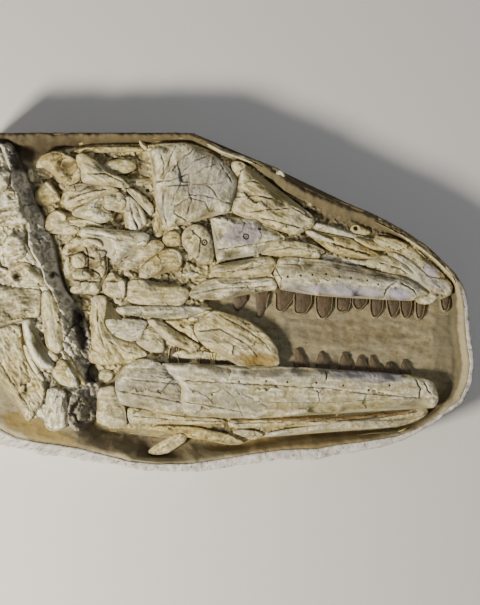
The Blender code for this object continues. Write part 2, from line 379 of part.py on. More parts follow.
def signed_area(loop):
    """Area of a loop of points, positive where it runs anticlockwise."""
    following = loop[1:] + loop[:1]
    return sum(a[0] * b[1] - b[0] * a[1] for a, b in zip(loop, following)) / 2


def anticlockwise(loop):
    """The loop, turned to run anticlockwise."""
    return loop if signed_area(loop) > 0 else loop[::-1]


def point_to_edge(point, start, end):
    """Distance of a point from the straight edge between two points."""
    run = (end[0] - start[0], end[1] - start[1])
    length = run[0] ** 2 + run[1] ** 2
    along = ((point[0] - start[0]) * run[0] + (point[1] - start[1]) * run[1]) / max(length, 1e-9)
    along = min(1.0, max(0.0, along))
    return math.dist(point, (start[0] + along * run[0], start[1] + along * run[1]))


def loop_distance(point, loop):
    """Distance of a point from the nearest edge of a loop."""
    return min(point_to_edge(point, a, b) for a, b in zip(loop, loop[1:] + loop[:1]))


def is_inside(point, loop):
    """Whether a loop goes round a point."""
    crossings = False
    for a, b in zip(loop, loop[1:] + loop[:1]):
        if (a[1] > point[1]) != (b[1] > point[1]):
            if point[0] < a[0] + (point[1] - a[1]) * (b[0] - a[0]) / (b[1] - a[1]):
                crossings = not crossings
    return crossings


def grown(loop, distance):
    """The anticlockwise loop with every corner moved outwards, or inwards for less than zero."""
    moved = []
    for before, here, after in zip(loop[-1:] + loop[:-1], loop, loop[1:] + loop[:1]):
        first = Vector((here[1] - before[1], before[0] - here[0])).normalized()
        second = Vector((after[1] - here[1], here[0] - after[0])).normalized()
        outward = first + second
        outward = outward.normalized() if outward.length > 0.2 else first
        reach = distance / max(0.5, outward.dot(first))
        moved.append((here[0] + outward.x * reach, here[1] + outward.y * reach))
    return moved


def lattice(loop, step):
    """Points of a staggered lattice over the box round a loop."""
    left, right = min(p[0] for p in loop), max(p[0] for p in loop)
    low, high = min(p[1] for p in loop), max(p[1] for p in loop)
    row_step = step * math.sqrt(3) / 2
    for row in range(int((high - low) / row_step) + 1):
        for column in range(int((right - left) / step) + 1):
            shift = (row % 2) * step / 2
            yield left + step / 4 + column * step + shift, low + row_step * (row + 0.5)


def triangulate(points, loops):
    """Delaunay triangles of the points, and for each triangle the loops that it lies in."""
    flat = [Vector(p) for p in points]
    corners, _, triangles, _, _, owners = delaunay_2d_cdt(flat, [], loops, 0, 1e-4, True)
    return [tuple(c) for c in corners], triangles, owners


def edge_links(triangles):
    """For each corner on the outer edge of some triangles, the corners that follow it there."""
    directed = {(t[i], t[(i + 1) % 3]) for t in triangles for i in range(3)}
    onward = {}
    for a, b in directed:
        if (b, a) not in directed:
            onward.setdefault(a, []).append(b)
    return onward


def walk(onward, corners):
    """Walks the boundary edges into loops, keeping to one side where two loops touch."""
    loops = []
    while onward:
        start = min(onward)
        here, back = start, None
        loop = []
        while True:
            choices = onward[here]
            if back is None or len(choices) == 1:
                ahead = choices[0]
            else:
                arrive = math.atan2(corners[back][1] - corners[here][1],
                                    corners[back][0] - corners[here][0])
                ahead = min(choices, key=lambda c: (arrive - math.atan2(
                    corners[c][1] - corners[here][1],
                    corners[c][0] - corners[here][0])) % (2 * math.pi))
            choices.remove(ahead)
            if not choices:
                del onward[here]
            loop.append(corners[here])
            back, here = here, ahead
            if here == start:
                break
        loops.append(loop)
    return loops


def tidy_loop(loop):
    """The loop without points that are nearly doubled, nearly in line, or the tip of a spike."""
    changed = True
    while changed and len(loop) > 4:
        changed = False
        for i, here in enumerate(loop):
            before, after = loop[i - 1], loop[(i + 1) % len(loop)]
            ahead, behind = Vector(after) - Vector(here), Vector(before) - Vector(here)
            spike = ahead.length > 0 and behind.length > 0 and ahead.angle(behind) < 0.3
            close = behind.length < SLIVER and point_to_edge(here, before, after) < BONE_GAP / 2
            if spike or close or point_to_edge(here, before, after) < CORNER_TOLERANCE:
                loop = loop[:i] + loop[i + 1:]
                changed = True
                break
    return loop


def free_loop(outline, taken):
    """What an outline keeps once the loops already taken, and a gap round them, are left out."""
    own = anticlockwise(outline)
    near = [grown(anticlockwise(other), BONE_GAP) for other in taken]
    points, loops = list(own), [list(range(len(own)))]
    for other in near:
        loops.append(list(range(len(points), len(points) + len(other))))
        points += other
    corners, triangles, owners = triangulate(points, loops)
    kept = [t for t, owner in zip(triangles, owners) if owner == [0] or set(owner) == {0}]
    found = walk(edge_links(kept), corners)
    return tidy_loop(max(found, key=signed_area))


def crown_height(point, loop, bone):
    """Height of a bone's surface above its underside at a point inside its loop."""
    depth = min(1.0, loop_distance(point, loop) / ROUND_REACH)
    rise = EDGE_SHARE + (1 - EDGE_SHARE) * math.sqrt(1 - (1 - depth) ** 2)
    height = bone.crown * rise
    for x, y, radius, lift in bone.lumps:
        height += lift * depth * math.exp(-(math.dist(point, (x, y)) / radius) ** 2)
    return height


def solid_between(top_points, heights, rim_count, base, triangles_top):
    """A closed bmesh: the triangulated top, straight sides under its rim and a flat bottom."""
    mesh = bmesh.new()
    top = [mesh.verts.new((x * CM, y * CM, z * CM)) for (x, y), z in zip(top_points, heights)]
    low = [mesh.verts.new((x * CM, y * CM, base * CM)) for x, y in top_points[:rim_count]]
    for triangle in triangles_top:
        mesh.faces.new([top[i] for i in triangle])
    for i in range(rim_count):
        j = (i + 1) % rim_count
        mesh.faces.new((low[i], low[j], top[j], top[i]))
    floor = mesh.faces.new(low[::-1])
    bmesh.ops.triangulate(mesh, faces=[floor])
    return mesh


def corner_key(point):
    """A point in single precision, rounded so that a corner can be found again by its place."""
    return tuple(round(coordinate, 4) for coordinate in Vector(point))


def capped(loop, inner, height_at, base, creases=()):
    """A solid under a height field: its rim is the loop, its top bends at the inner points."""
    points = list(loop) + list(inner)
    loops = [list(range(len(loop)))]
    for crease in creases:
        loops.append(list(range(len(points), len(points) + len(crease))))
        points += crease
    corners, triangles, owners = triangulate(points, loops)
    kept = [t for t, owner in zip(triangles, owners) if 0 in owner]
    numbers = {corner_key(corner): i for i, corner in enumerate(corners)}
    rim = [numbers[corner_key(point)] for point in loop]
    used = sorted({i for t in kept for i in t} - set(rim))
    place = {old: new for new, old in enumerate(rim + used)}
    placed = [corners[i] for i in rim + used]
    faces = [[place[i] for i in t] for t in kept]
    heights = [height_at(p, i < len(rim)) for i, p in enumerate(placed)]
    return solid_between(placed, heights, len(rim), base, faces)


def put_in_scene(name, mesh, colour):
    """Makes an object with its own material from a bmesh."""
    bmesh.ops.recalc_face_normals(mesh, faces=mesh.faces)
    data = bpy.data.meshes.new(name)
    mesh.to_mesh(data)
    mesh.free()
    material = bpy.data.materials.new(name)
    material.use_nodes = True
    shader = material.node_tree.nodes["Principled BSDF"]
    linear = [c / 12.92 if c <= 0.04045 else ((c + 0.055) / 1.055) ** 2.4 for c in colour]
    shader.inputs["Base Color"].default_value = (*linear, 1)
    shader.inputs["Roughness"].default_value = 0.75
    shader.inputs["Metallic"].default_value = 0.0
    data.materials.append(material)
    part = bpy.data.objects.new(name, data)
    bpy.context.collection.objects.link(part)
    return part


def inner_points(loop, bone):
    """Points where a bone's surface bends: a ring inside its edge, a lattice and its lumps."""
    inner = []
    ring = grown(loop, -RING_INSET)
    field = [(x, y) for x, y, _, _ in bone.lumps] + list(lattice(loop, FIELD_STEP))
    for candidates, room, spread in ((ring, 0.85, 1.4), (field, 1.7, 2.2)):
        for point in candidates:
            if not is_inside(point, loop) or loop_distance(point, loop) < room * RING_INSET:
                continue
            if all(math.dist(point, other) > spread * RING_INSET for other in inner):
                inner.append(point)
    return inner


def make_bone(bone, loop):
    """One bone in relief, its edge dropping straight to what it lies on."""
    base = bone.level + CLEARANCE

    def height_at(point, on_rim):
        return base + (bone.crown * EDGE_SHARE if on_rim else crown_height(point, loop, bone))

    mesh = capped(loop, inner_points(loop, bone), height_at, base)
    part = put_in_scene(bone.name, mesh, bone.colour)
    for number, tooth in enumerate(bone.teeth):
        fuse_tooth(part, make_tooth(f"{bone.name}_tooth_{number}", tooth, base))


def make_tooth(name, outline, base):
    """A tooth lying on its side: a ridge runs from the root line to the tip."""
    loop = anticlockwise(outline)
    base += CLEARANCE
    root = ((outline[0][0] + outline[-1][0]) / 2, (outline[0][1] + outline[-1][1]) / 2)
    tip = outline[len(outline) // 2]
    ridge = [(root[0] + (tip[0] - root[0]) * share, root[1] + (tip[1] - root[1]) * share)
             for share in (0.25, 0.65)]

    def height_at(point, on_rim):
        return base + TOOTH_RISE * (0.45 if on_rim else 1.0)

    return put_in_scene(name, capped(loop, ridge, height_at, base), CREAM)


def fuse_tooth(bone, tooth):
    """Joins a tooth to its bone and leaves the tooth's own object out of the model."""
    join = bone.modifiers.new("tooth", "BOOLEAN")
    join.operation = "UNION"
    join.solver = "EXACT"
    join.object = tooth
    tooth.hide_render = True
    tooth.display_type = "WIRE"


def ground_height(point):
    """Height of the matrix: the floor, the neck block and the rim, with slopes between them."""
    crest = grown(MATRIX_EDGE, -RIM_ROUND)
    levels = ((FLOOR_EDGE, FLOOR_Z), (PLATEAU_EDGE, PLATEAU_Z))
    for loop, height in levels:
        if is_inside(point, loop):
            return height
    pulls = [(max(loop_distance(point, loop), 1e-3), height) for loop, height in levels]
    pulls.append((max(loop_distance(point, crest), 1e-3), RIM_Z))
    weights = [(1 / distance ** BLEND_POWER, height) for distance, height in pulls]
    return sum(w * h for w, h in weights) / sum(w for w, _ in weights)


def make_matrix():
    """The slab of matrix: a flat prepared floor, the higher neck block and a raised rim."""
    crest = grown(MATRIX_EDGE, -RIM_ROUND)
    slopes = []
    for point in lattice(MATRIX_EDGE, WALL_STEP):
        clear = min(loop_distance(point, loop) for loop in (FLOOR_EDGE, PLATEAU_EDGE, crest))
        flat = is_inside(point, FLOOR_EDGE) or is_inside(point, PLATEAU_EDGE)
        if is_inside(point, crest) and not flat and clear > 0.3 * CLIFF_STEP:
            slopes.append(point)

    def height_at(point, on_rim):
        if on_rim:
            return RIM_Z - 0.5
        for loop, height in ((crest, RIM_Z), (FLOOR_EDGE, FLOOR_Z), (PLATEAU_EDGE, PLATEAU_Z)):
            if loop_distance(point, loop) < 1e-3:
                return height
        return ground_height(point)

    mesh = capped(MATRIX_EDGE, slopes, height_at, JACKET_FLOOR + CLEARANCE,
                  (crest, FLOOR_EDGE, PLATEAU_EDGE))
    put_in_scene("matrix", mesh, TAN)


def ring_of(mesh, loop, height):
    """A ring of mesh corners at one height."""
    return [mesh.verts.new((x * CM, y * CM, height * CM)) for x, y in loop]


def bridge(mesh, lower, upper):
    """Joins two rings of the same number of corners with a band of faces."""
    for i in range(len(lower)):
        j = (i + 1) % len(lower)
        mesh.faces.new((lower[i], lower[j], upper[j], upper[i]))


def make_jacket():
    """The plaster tray that holds the matrix, with a flat underside and rounded outer edges."""
    mesh = bmesh.new()
    pocket = grown(MATRIX_EDGE, CLEARANCE)
    heel = ring_of(mesh, grown(SLAB_EDGE, -JACKET_HEEL), 0)
    outer = ring_of(mesh, SLAB_EDGE, 3 * JACKET_HEEL)
    shoulder = ring_of(mesh, SLAB_EDGE, JACKET_TOP - RIM_ROUND)
    brim = ring_of(mesh, grown(SLAB_EDGE, -RIM_ROUND / 3), JACKET_TOP)
    lip = ring_of(mesh, pocket, JACKET_TOP)
    well = ring_of(mesh, pocket, JACKET_FLOOR)
    for lower, upper in ((heel, outer), (outer, shoulder), (shoulder, brim), (lip, well)):
        bridge(mesh, lower, upper)
    underside = mesh.faces.new(heel[::-1])
    bottom = mesh.faces.new(well)
    bmesh.ops.triangulate(mesh, faces=[underside, bottom])
    rings = [(v.co.x / CM, v.co.y / CM) for v in brim + lip]
    count = len(brim)
    corners, triangles, owners = triangulate(
        rings, [list(range(count)), list(range(count, len(rings)))])
    for triangle, owner in zip(triangles, owners):
        if set(owner) == {0}:
            nearest = [min(brim + lip, key=lambda v: math.dist(
                (v.co.x / CM, v.co.y / CM), corners[i])) for i in triangle]
            mesh.faces.new(nearest)
    put_in_scene("plaster_jacket", mesh, PLASTER)


def build():
    """Builds the slab, its jacket and every bone."""
    clear_scene()
    make_jacket()
    make_matrix()
    for group in (SKULL_BONES, NECK_BONES):
        taken = []
        for bone in group:
            loop = free_loop(bone.outline, taken)
            make_bone(bone, loop)
            taken.append(loop)
            taken.extend(bone.teeth)


build()
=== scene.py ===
"""Looks of a fossil mosasaur skull lying in relief on a slab of matrix in a plaster jacket.

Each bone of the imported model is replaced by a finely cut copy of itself: its outline and its
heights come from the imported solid, and its cracks, grain, pores and stains are added here.
Crushed bone and rock fill the gaps between the bones, and loose fragments lie on them.
Tables of strokes, spots, stains and outlines are in centimetres from the middle of the slab,
with x towards the snout and y towards the skull roof, and all other sizes are in metres.
"""

import json
import logging
import math
from dataclasses import dataclass, field
from enum import Enum
from typing import Callable, Iterable, Sequence

import bmesh
import bpy
import numpy as np
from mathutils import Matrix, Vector
from mathutils.bvhtree import BVHTree
from mathutils.geometry import delaunay_2d_cdt


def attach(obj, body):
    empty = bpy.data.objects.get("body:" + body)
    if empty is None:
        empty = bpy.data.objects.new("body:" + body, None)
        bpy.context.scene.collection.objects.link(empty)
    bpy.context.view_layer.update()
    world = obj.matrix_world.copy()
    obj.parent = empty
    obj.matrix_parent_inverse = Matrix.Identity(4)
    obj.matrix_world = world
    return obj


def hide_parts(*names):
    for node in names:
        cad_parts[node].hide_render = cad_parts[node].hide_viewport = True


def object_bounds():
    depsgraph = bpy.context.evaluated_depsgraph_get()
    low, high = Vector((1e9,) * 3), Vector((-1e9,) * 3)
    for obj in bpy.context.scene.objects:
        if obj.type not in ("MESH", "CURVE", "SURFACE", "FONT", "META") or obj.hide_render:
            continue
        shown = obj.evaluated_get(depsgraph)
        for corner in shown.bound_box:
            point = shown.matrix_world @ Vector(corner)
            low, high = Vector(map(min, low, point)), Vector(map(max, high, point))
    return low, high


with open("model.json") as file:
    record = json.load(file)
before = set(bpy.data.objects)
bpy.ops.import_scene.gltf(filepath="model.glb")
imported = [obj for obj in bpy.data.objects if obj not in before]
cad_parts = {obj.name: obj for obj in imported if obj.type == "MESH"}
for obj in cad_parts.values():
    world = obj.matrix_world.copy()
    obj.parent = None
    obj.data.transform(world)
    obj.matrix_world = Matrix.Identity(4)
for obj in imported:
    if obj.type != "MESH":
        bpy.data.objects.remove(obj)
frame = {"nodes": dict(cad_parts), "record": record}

LOG = logging.getLogger("skull")
CM = 0.01
MM = 0.001
DOWN = Vector((0, 0, -1))
CAD_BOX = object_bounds()

# No dressed point rises above this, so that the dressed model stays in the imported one's box.
HIGHEST = CAD_BOX[1][2] - 0.3 * MM

# How many times longer than wide the streaks of the grain are.
GRAIN_LENGTH = 7

Point = tuple[float, float]


# Small tools


def linear(code: str) -> tuple[float, float, float, float]:
    """Turns an sRGB hex colour into the linear colour that a shader takes.

    Args:
        code: Six hex digits.

    Returns:
        Linear red, green, blue and an alpha of one.
    """
    levels = [int(code[i:i + 2], 16) / 255 for i in (0, 2, 4)]
    bent = [c / 12.92 if c <= 0.04045 else ((c + 0.055) / 1.055) ** 2.4 for c in levels]
    return (*bent, 1.0)


def add_node(tree: bpy.types.NodeTree, kind: str, settings: dict | None = None,
             inputs: dict | None = None) -> bpy.types.Node:
    """Adds a node with its settings, values and links.

    Args:
        tree: The tree that gets the node.
        kind: The node's type name.
        settings: Attributes of the node.
        inputs: Socket name or number, to a value or to the output socket that feeds it.

    Returns:
        The new node.
    """
    node = tree.nodes.new(kind)
    for key, value in (settings or {}).items():
        setattr(node, key, value)
    for key, value in (inputs or {}).items():
        if isinstance(value, bpy.types.NodeSocket):
            tree.links.new(value, node.inputs[key])
        else:
            node.inputs[key].default_value = value
    return node


def inside(points: np.ndarray, loop: np.ndarray) -> np.ndarray:
    """Tells which points a closed loop goes round.

    Args:
        points: Points, one in each row.
        loop: Corners of the loop in order.

    Returns:
        One truth value for each point.
    """
    found = np.zeros(len(points), bool)
    x, y = points[:, 0], points[:, 1]
    for (ax, ay), (bx, by) in zip(loop, np.roll(loop, -1, 0)):
        if ay != by:
            spans = (ay > y) != (by > y)
            found ^= spans & (x < ax + (y - ay) * (bx - ax) / (by - ay))
    return found


def line_distance(points: np.ndarray, line: np.ndarray, closed: bool = False) -> np.ndarray:
    """Measures how far each point lies from a line of straight stretches.

    Args:
        points: Points, one in each row.
        line: Corners of the line in order.
        closed: Whether the last corner joins the first.

    Returns:
        One distance for each point.
    """
    best = np.full(len(points), np.inf)
    ends = np.roll(line, -1, 0) if closed else line[1:]
    for start, end in zip(line, ends):
        run = end - start
        along = np.clip((points - start) @ run / max(run @ run, 1e-12), 0, 1)
        best = np.minimum(best, np.hypot(*(points - start - along[:, None] * run).T))
    return best


def turned(places: np.ndarray, degrees: float) -> np.ndarray:
    """Measures each place along a direction and across it.

    Args:
        places: Points, one in each row.
        degrees: The direction.

    Returns:
        Both distances, in one row for each point.
    """
    angle = math.radians(degrees)
    return places @ np.array([[math.cos(angle), -math.sin(angle)],
                              [math.sin(angle), math.cos(angle)]])


def drawn_out(along: np.ndarray) -> np.ndarray:
    """Places for the pattern of the grain, which is long one way and fine the other."""
    return np.column_stack([along[:, 0] / GRAIN_LENGTH, along[:, 1], np.zeros(len(along))])


def round_over(share: np.ndarray) -> np.ndarray:
    """Height of a quarter circle at each share of its radius, from its edge inwards."""
    return np.sqrt(1 - np.clip(1 - share, 0, 1) ** 2)


def ease(share: np.ndarray) -> np.ndarray:
    """Turns a share into one that starts and ends softly, held between 0 and 1."""
    held = np.clip(share, 0, 1)
    return held * held * (3 - 2 * held)


def scatter(cells: np.ndarray, seed: float) -> np.ndarray:
    """Gives each lattice cell a number from 0 to 1 that looks random and never changes."""
    mixed = np.sin(cells[:, 0] * 127.1 + cells[:, 1] * 311.7 + seed * 13.73) * 43758.5453
    return mixed - np.floor(mixed)


def wave(places: np.ndarray, size: float, seed: float, octaves: int = 3) -> np.ndarray:
    """Gives smooth fractal noise at each place.

    Args:
        places: Two coordinates in each row, in metres.
        size: Width of the largest lumps, in metres.
        seed: Offset that makes one pattern differ from the next.
        octaves: How many finer layers are added.

    Returns:
        Values from about -1 to 1.
    """
    total, gain = np.zeros(len(places)), 1.5
    spot = places[:, :2] / size + seed * np.array([1.37, 2.71])
    for octave in range(octaves):
        cell = np.floor(spot)
        step = spot - cell
        soft = ease(step)
        for dx, dy in ((0, 0), (1, 0), (0, 1), (1, 1)):
            turn = math.tau * scatter(cell + [dx, dy], seed + octave)
            slope = np.cos(turn) * (step[:, 0] - dx) + np.sin(turn) * (step[:, 1] - dy)
            share = (soft[:, 0] if dx else 1 - soft[:, 0]) * (soft[:, 1] if dy else 1 - soft[:, 1])
            total += gain * share * slope
        gain *= 0.5
        spot = spot @ np.array([[1.62, 1.22], [-1.22, 1.62]]) + 9.7
    return total


def wander(places: np.ndarray, size: float, seeds: Sequence[float],
           octaves: int = 3) -> np.ndarray:
    """Gives each place a smooth shift in both directions, from about -1 to 1."""
    return np.column_stack([wave(places, size, seed, octaves) for seed in seeds])


def shards(places: np.ndarray, size: float, seed: float) -> tuple[np.ndarray, np.ndarray]:
    """Splits the plane into irregular pieces.

    Args:
        places: Two coordinates in each row, in metres.
        size: Width of the pieces, in metres.
        seed: Offset that makes one pattern differ from the next.

    Returns:
        Distance from the nearest seam as a share of a piece's width, and a height from
        -1 to 1 that is level or tilted over each piece.
    """
    spot = places[:, :2] / size + seed * np.array([2.13, 1.49])
    cell = np.floor(spot)
    near, far = np.full(len(spot), 9.0), np.full(len(spot), 9.0)
    height = np.zeros(len(spot))
    for dx in (-1, 0, 1):
        for dy in (-1, 0, 1):
            other = cell + [dx, dy]
            lift = scatter(other, seed + 5)
            middle = other + np.column_stack([scatter(other, seed), scatter(other, seed + 2)])
            away = spot - middle
            gap = np.hypot(*away.T)
            turn = math.tau * scatter(other, seed + 8)
            tilt = 1.3 * (np.cos(turn) * away[:, 0] + np.sin(turn) * away[:, 1])
            closer = gap < near
            far = np.where(closer, near, np.minimum(far, gap))
            height = np.where(closer, 1.4 * (lift - 0.5) + tilt, height)
            near = np.where(closer, gap, near)
    return far - near, np.clip(height, -1, 1)


# Details that are cut or painted one by one


@dataclass(frozen=True)
class Stroke:
    """A line cut into a surface, or raised where its depth is below zero, in centimetres."""

    # How far the line wanders from its points, and how near its tips it grows shallow.
    WANDER = 0.16
    TIP = 1.2

    points: tuple[Point, ...]
    width: float = 0.25
    depth: float = 0.22
    dark: float = 0.85

    def cut(self, places: np.ndarray) -> np.ndarray:
        """Share of the full depth at each place: the line wanders, fades and tapers.

        Args:
            places: Points, one in each row, in centimetres.

        Returns:
            One share for each point, from 0 to 1.
        """
        line = np.array(self.points)
        found = np.zeros(len(places))
        reach = self.width + 0.3
        close = np.all((places > line.min(0) - reach) & (places < line.max(0) + reach), axis=1)
        if close.any():
            spot = places[close]
            seed = float(line[0] @ [0.37, 0.73])
            bent = spot + self.WANDER * wander(spot * CM, 14 * MM, (seed, seed + 4), 2)
            near = np.clip(1 - line_distance(bent, line) / self.width, 0, 1)
            tips = np.minimum(*(np.hypot(*(spot - tip).T) for tip in (line[0], line[-1])))
            taper = np.clip(0.3 + tips / self.TIP, 0, 1)
            patchy = np.clip(0.8 + wave(spot * CM, 20 * MM, seed + 9, 2), 0.3, 1)
            found[close] = near ** 1.2 * taper * patchy
        return found


@dataclass(frozen=True)
class Spot:
    """A round pit, or a boss where its depth is below zero, in centimetres."""

    x: float
    y: float
    radius: float
    depth: float
    dark: float = 0.6
    ring: bool = False

    def cut(self, places: np.ndarray) -> np.ndarray:
        """Share of the spot's full depth at each place.

        Args:
            places: Points, one in each row, in centimetres.

        Returns:
            One share for each point, from 0 to 1.
        """
        away = np.hypot(places[:, 0] - self.x, places[:, 1] - self.y) / self.radius
        if self.ring:
            return np.clip(1 - np.abs(away - 0.7) / 0.35, 0, 1)
        return np.clip(1 - away ** 2, 0, 1) ** 1.5


@dataclass(frozen=True)
class Stain:
    """A soft patch of colour on a surface, in centimetres."""

    x: float
    y: float
    reach_x: float
    reach_y: float
    colour: str
    strength: float = 0.8
    turn: float = 0.0

    def cover(self, places: np.ndarray) -> np.ndarray:
        """Strength of the stain at each place, fading out to its reach.

        Args:
            places: Points, one in each row, in centimetres.

        Returns:
            One strength for each point.
        """
        spread = turned(places - [self.x, self.y], self.turn) / [self.reach_x, self.reach_y]
        away = np.hypot(*spread.T) + 0.22 * wave(places * CM, 30 * MM, self.x + self.y, 3)
        return self.strength * ease((1.15 - away) / 0.5)


@dataclass(frozen=True)
class Detail:
    """Everything that is cut into or painted on one bone.

    The grain and the lean are directions in degrees, and the side that the lean points to
    stands up by the rise, in centimetres. The cells are the width of the cracked plates in
    centimetres, and rough and plates are shares of the usual depth of folds and plates.
    """

    grain: float = 0.0
    strokes: tuple[Stroke, ...] = ()
    spots: tuple[Spot, ...] = ()
    stains: tuple[Stain, ...] = ()
    rough: float = 1.0
    cells: float = 3.6
    plates: float = 1.3
    lean: float = 0.0
    rise: float = 0.0


# Finishes

# Dark brown painted along cracks, seams and pits; in the deepest pits it is painted shadow.
CRACK = "2B2010"

# What every surface stores at its points for its material: the kind and member of each.
ATTRIBUTES = {
    "relief": ("FLOAT", "value"), "crack": ("FLOAT", "value"),
    "paint": ("FLOAT_COLOR", "color"), "grain": ("FLOAT_VECTOR", "vector")}


@dataclass(frozen=True)
class FossilBone:
    """Mineralised bone, prepared with needles and left matt: mottled by iron and clay stains."""

    name: str
    base: str = "C9BF9C"
    stain: str = "94824C"
    # The next two are the painted highlight on ridges and the painted shade in hollows.
    pale_and_highlight: str = "E4DDC6"
    dark_and_shade: str = "55431F"
    cool: str = "B9B5A8"
    mottle_mm: float = 42.0
    tint_mm: float = 95.0
    streak_mm: float = 4.0
    pore_mm: float = 2.6
    roughness: float = 0.62

    def material(self) -> bpy.types.Material:
        """Builds the material.

        Returns:
            The finished material.
        """
        made = bpy.data.materials.new(self.name)
        made.use_nodes = True
        tree = made.node_tree
        shader = tree.nodes["Principled BSDF"]
        place = add_node(tree, "ShaderNodeTexCoord").outputs["Object"]
        marks = {key: add_node(tree, "ShaderNodeAttribute", {"attribute_name": key}).outputs
                 for key in ATTRIBUTES}
        # Clouds of a real size. The pores of real bone are finer than a pixel, so they are
        # drawn as coarse as they need to be to show.
        clouds = {}
        for key, spot, size_mm, detail in (
                ("tint", place, self.tint_mm, 3.0), ("mottle", place, self.mottle_mm, 6.0),
                ("streak", marks["grain"]["Vector"], self.streak_mm, 4.0),
                ("pore", place, self.pore_mm, 4.0)):
            clouds[key] = add_node(tree, "ShaderNodeTexNoise", None, {
                "Vector": spot, "Scale": 1 / (size_mm * MM), "Detail": detail,
                "Roughness": 0.6}).outputs["Fac"]
        # Cool patches a hand wide, blotches of iron and faint streaks along the grain, then the
        # relief: a painted highlight on ridges and painted shade in hollows, random lumps on the
        # plaster.
        layers = []
        for value, start, end, most, code in (
                (clouds["tint"], 0.42, 0.6, 0.8, self.cool),
                (clouds["mottle"], 0.48, 0.72, 0.66, self.stain),
                (clouds["streak"], 0.5, 0.75, 0.16, self.stain),
                (marks["relief"]["Fac"], 0.02, 0.65, 0.8, self.pale_and_highlight),
                (marks["relief"]["Fac"], -0.08, -0.85, 0.68, self.dark_and_shade)):
            share = add_node(tree, "ShaderNodeMapRange", None, {
                "Value": value, "From Min": start, "From Max": end, "To Max": most})
            layers.append((share.outputs[0], linear(code)))
        # Last, the stains of this one piece and the dark line of every crack.
        layers += [(marks["paint"]["Alpha"], marks["paint"]["Color"]),
                   (marks["crack"]["Fac"], linear(CRACK))]
        colour = linear(self.base)
        for share, over in layers:
            colour = add_node(tree, "ShaderNodeMix", {"data_type": "RGBA"}, {
                0: share, 6: colour, 7: over}).outputs[2]
        # Specks darken and lighten the whole, as pores and grains of sand do.
        speck = add_node(tree, "ShaderNodeMapRange", None, {
            "Value": clouds["pore"], "From Min": 0.3, "From Max": 0.7, "To Min": 0.76,
            "To Max": 1.16}).outputs[0]
        tone = add_node(tree, "ShaderNodeCombineColor", None, {0: speck, 1: speck, 2: speck})
        final = add_node(tree, "ShaderNodeMix", {"data_type": "RGBA", "blend_type": "MULTIPLY"}, {
            0: 1.0, 6: colour, 7: tone.outputs[0]})
        tree.links.new(final.outputs[2], shader.inputs["Base Color"])
        # The same pores and streaks break up the light, so that the surface looks matt.
        height = add_node(tree, "ShaderNodeMath", {"operation": "ADD"}, {
            0: clouds["pore"], 1: clouds["streak"]})
        bump = add_node(tree, "ShaderNodeBump", None, {
            "Strength": 0.9, "Distance": 0.9 * MM, "Height": height.outputs[0]})
        tree.links.new(bump.outputs[0], shader.inputs["Normal"])
        for key, value in (("Roughness", self.roughness), ("IOR", 1.5),
                           ("Specular IOR Level", 0.3)):
            shader.inputs[key].default_value = value
        return made


@dataclass(frozen=True)
class ToothEnamel(FossilBone):
    """Fossil enamel: brown, close-grained and a little glossy beside the matt bone."""

    name: str = "fossil_enamel"
    base: str = "61513A"
    stain: str = "3A2F1F"
    pale_and_highlight: str = "96855E"
    dark_and_shade: str = "231B0F"
    cool: str = "564B3C"
    mottle_mm: float = 12.0
    streak_mm: float = 2.0
    pore_mm: float = 1.4
    roughness: float = 0.45


@dataclass(frozen=True)
class ChalkMatrix(FossilBone):
    """Clayey chalk, scraped back by hand: matt tan rock with scratches, a painted highlight on its
    ridges and painted shade in its hollows.
    """

    name: str = "clayey_chalk"
    base: str = "948868"
    stain: str = "82764F"
    pale_and_highlight: str = "ABA07F"
    dark_and_shade: str = "5A4F35"
    cool: str = "8F886E"
    mottle_mm: float = 70.0
    streak_mm: float = 7.0
    pore_mm: float = 2.6
    roughness: float = 0.85


@dataclass(frozen=True)
class PlasterBandage(FossilBone):
    """Plaster of Paris on burlap: chalky white, lumpy, with dust and small dark voids."""

    name: str = "plaster_bandage"
    base: str = "E0DDD4"
    stain: str = "B4AE9E"
    pale_and_highlight: str = "F1EFE9"
    dark_and_shade: str = "6E644F"
    cool: str = "CFCDC8"
    mottle_mm: float = 22.0
    streak_mm: float = 5.0
    pore_mm: float = 3.4
    roughness: float = 0.8


class Finish(Enum):
    """The finishes that a piece may have."""

    PALE_BONE = FossilBone("pale_fossil_bone", "B8AE85", "918349", "F2ECD2", "564A24", "B5B29F")
    CREAM_BONE = FossilBone("cream_fossil_bone", "B9AB78", "837436", "E6DDB4", "4C411B", "ADA68A")
    OCHRE_BONE = FossilBone("ochre_fossil_bone", "AB985C", "76632C", "D9CA96", "403413", "9E946E")
    CRUSHED = FossilBone("crushed_fossil_bone", "AFA271", "7D6E3A", "DDD2A8", "473C1B", "A39B7C")
    MARL = ChalkMatrix("grey_marl", "C3BCA3", "9C937A", "D6D0BB", "766D57", "B3AFA2", 24.0)
    ENAMEL = ToothEnamel()
    CHALK = ChalkMatrix()
    PLASTER = PlasterBandage()


class Shelf:
    """Keeps one material for each finish."""

    made: dict[Finish, bpy.types.Material] = {}

    @classmethod
    def material(cls, finish: Finish) -> bpy.types.Material:
        """Gives the finish's material, building it the first time.

        Args:
            finish: The finish.

        Returns:
            Its material, the same one each time.
        """
        if finish not in cls.made:
            cls.made[finish] = finish.value.material()
        return cls.made[finish]


# Surfaces


def joined_copy(node: bpy.types.Object) -> bmesh.types.BMesh:
    """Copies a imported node's mesh with its loose triangles joined.

    Args:
        node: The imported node's object.

    Returns:
        The joined mesh, which the caller frees.
    """
    mesh = bmesh.new()
    mesh.from_mesh(node.data)
    bmesh.ops.remove_doubles(mesh, verts=mesh.verts, dist=2e-5)
    mesh.normal_update()
    return mesh


